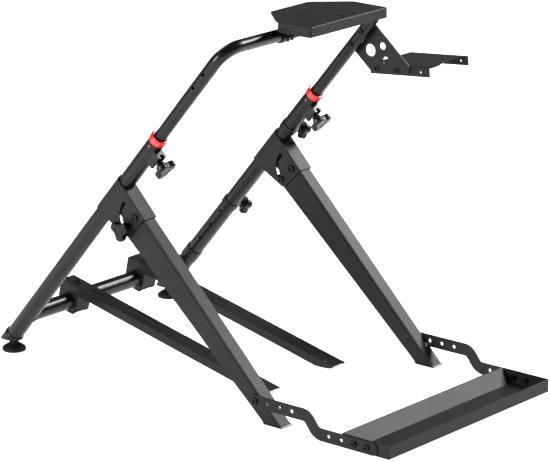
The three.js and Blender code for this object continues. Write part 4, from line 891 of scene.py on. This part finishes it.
x0, x1 = SHIFT_X0, SHIFT_X0 + SHIFT_W
edge = bezier((x0 + 24, 0), (x0 + 55, 0), (x0 + 60, 20), (x0 + 100, 20))
edge += bezier((x0 + 100, 20), (x0 + 130, 20), (x1 - 10, 10), (x1, 2))
mid = x0 + SHIFT_W / 2
holes = [circle(2.9, 24, mid + dx, y) for y in (34, 54, 74, 94) for dx in (-22, 22)]
holes += [circle(2.9, 24, mid, y) for y in (44, 64, 84)]
holes += [circle(2.9, 24, mid + 62, 100), circle(2.9, 24, mid + 55, 28)]
inset = 3.0
top = [(x0 + inset, 0.0), (x0 + 24, 0)] + edge[:-3] + [(x1 - inset, 5.0), (x1 - inset, SHIFT_L),
                                                       (x0 + inset, SHIFT_L)]
form = Form().sheet(top, holes, -3, 0)


def flange(a, y0, y1, flip):
    """Bent side of the shifter plate: a quarter bend at the top and a straight skirt."""
    outer = [(a, -22)] + [(a + (1 - math.cos(q)) * 3, -3 + 3 * math.sin(q))
                          for q in [math.pi / 2 * k / 6 for k in range(7)]]
    inner_side = [(a + 3, -3), (a + 3, -22)]
    loop = outer + inner_side
    if flip:
        loop = [(2 * a - u, v) for u, v in loop]
    return [[(u, y, v) for u, v in loop] for y in (y0, y1)]


form.loft(flange(x0, 0, SHIFT_L, False))
form.loft(flange(x1, 4, SHIFT_L, True))
pins = Form()
pins.prism(circle(2.6, 24), -10, SHIFT_W + 10, to_x(x0, 24, -12))
piece("shifter_plate", form, SHIFTER, "hoop", "powder", ["shifter_plate"],
      cuts=[(pins, SHIFTER, "DIFFERENCE")], bevel=0.3)
for name, y in (("front", 89), ("rear", 145)):
    form = Form()
    bolt_head(form, 6, 3.8, to_x(GUSSET_IN - 0.1, y, -11, -1))
    form.lathe([(0, 0), (3, 0), (3, 6.8), (0, 6.8)], to_x(x0 + 2.9, y, -11, 1), 24)
    hex_nut(form, 5.4, 0, 4.6, to_x(x0 + 3.05, y, -11, 1))
    piece(f"shifter_bolt_{name}", form, SHIFTER, "hoop", "bolt", [f"shifter_bolt_{name}"], bevel=0.0)


# ------------------------------------------------------------------ floor, light, camera
def stage_mesh(name, verts, faces, mat):
    mesh = bpy.data.meshes.new(name)
    mesh.from_pydata(verts, [], faces)
    obj = linked(name, mesh)
    mesh.materials.append(mat)


floor_mat = bpy.data.materials.new("pale_floor")
floor_mat.use_nodes = True
floor_shader = floor_mat.node_tree.nodes["Principled BSDF"]
floor_shader.inputs["Base Color"].default_value = (0.95, 0.95, 0.95, 1)
floor_shader.inputs["Roughness"].default_value = 0.9
floor_shader.inputs["Emission Color"].default_value = (1, 1, 1, 1)
floor_shader.inputs["Emission Strength"].default_value = 0.85
FLOOR_HALF, FLOOR_Z = 30, -0.0005
corners = [(u * FLOOR_HALF, v * FLOOR_HALF, FLOOR_Z) for u, v in ((-1, -1), (1, -1), (1, 1), (-1, 1))]
stage_mesh("floor", corners, [(0, 1, 2, 3)], floor_mat)

scene = bpy.context.scene
world = bpy.data.worlds.new("studio")
world.use_nodes = True
world.node_tree.nodes["Background"].inputs["Color"].default_value = (1, 1, 1, 1)
world.node_tree.nodes["Background"].inputs["Strength"].default_value = 0.18
scene.world = world
scene.view_settings.view_transform = "Standard"


def soft_light(name, location, target, size, power):
    data = bpy.data.lights.new(name, "AREA")
    data.shape, data.size, data.size_y = "RECTANGLE", size[0], size[1]
    data.energy = power
    lamp = bpy.data.objects.new(name, data)
    lamp.location = location
    lamp.rotation_mode = "QUATERNION"
    lamp.rotation_quaternion = (Vector(target) - Vector(location)).to_track_quat("-Z", "Y")
    scene.collection.objects.link(lamp)


soft_light("key", (3.1, -1.2, 2.7), (0, 0, 0.4), (1.8, 1.8), 330)
soft_light("fill", (-4.1, 1.0, 1.6), (0, 0, 0.4), (1.6, 1.6), 200)
soft_light("rim", (0.5, 3.2, 3.0), (0, 0, 0.5), (2.0, 1.0), 30)

SENSOR, LENS = 36, 219.0
CAMERA_LEFT, CAMERA_BACK, CAMERA_UP = 5414.1, 5151.9, 2.4129  # mm, mm, m
CAMERA_DOWN, CAMERA_TURN = 16.41, -49.863
camera_data = bpy.data.cameras.new("camera")
camera_data.sensor_width = SENSOR
camera_data.lens = LENS
camera_data.clip_end = 100
camera = bpy.data.objects.new("camera", camera_data)
camera.location = ((MID_X - CAMERA_LEFT) * MM, (FLOOR_Y - CAMERA_BACK) * MM, CAMERA_UP)
camera_data.shift_x, camera_data.shift_y = -0.0012, 0.0006
camera.rotation_euler = (math.radians(90 - CAMERA_DOWN), 0, math.radians(CAMERA_TURN))
scene.collection.objects.link(camera)
scene.camera = camera

bpy.context.view_layer.update()
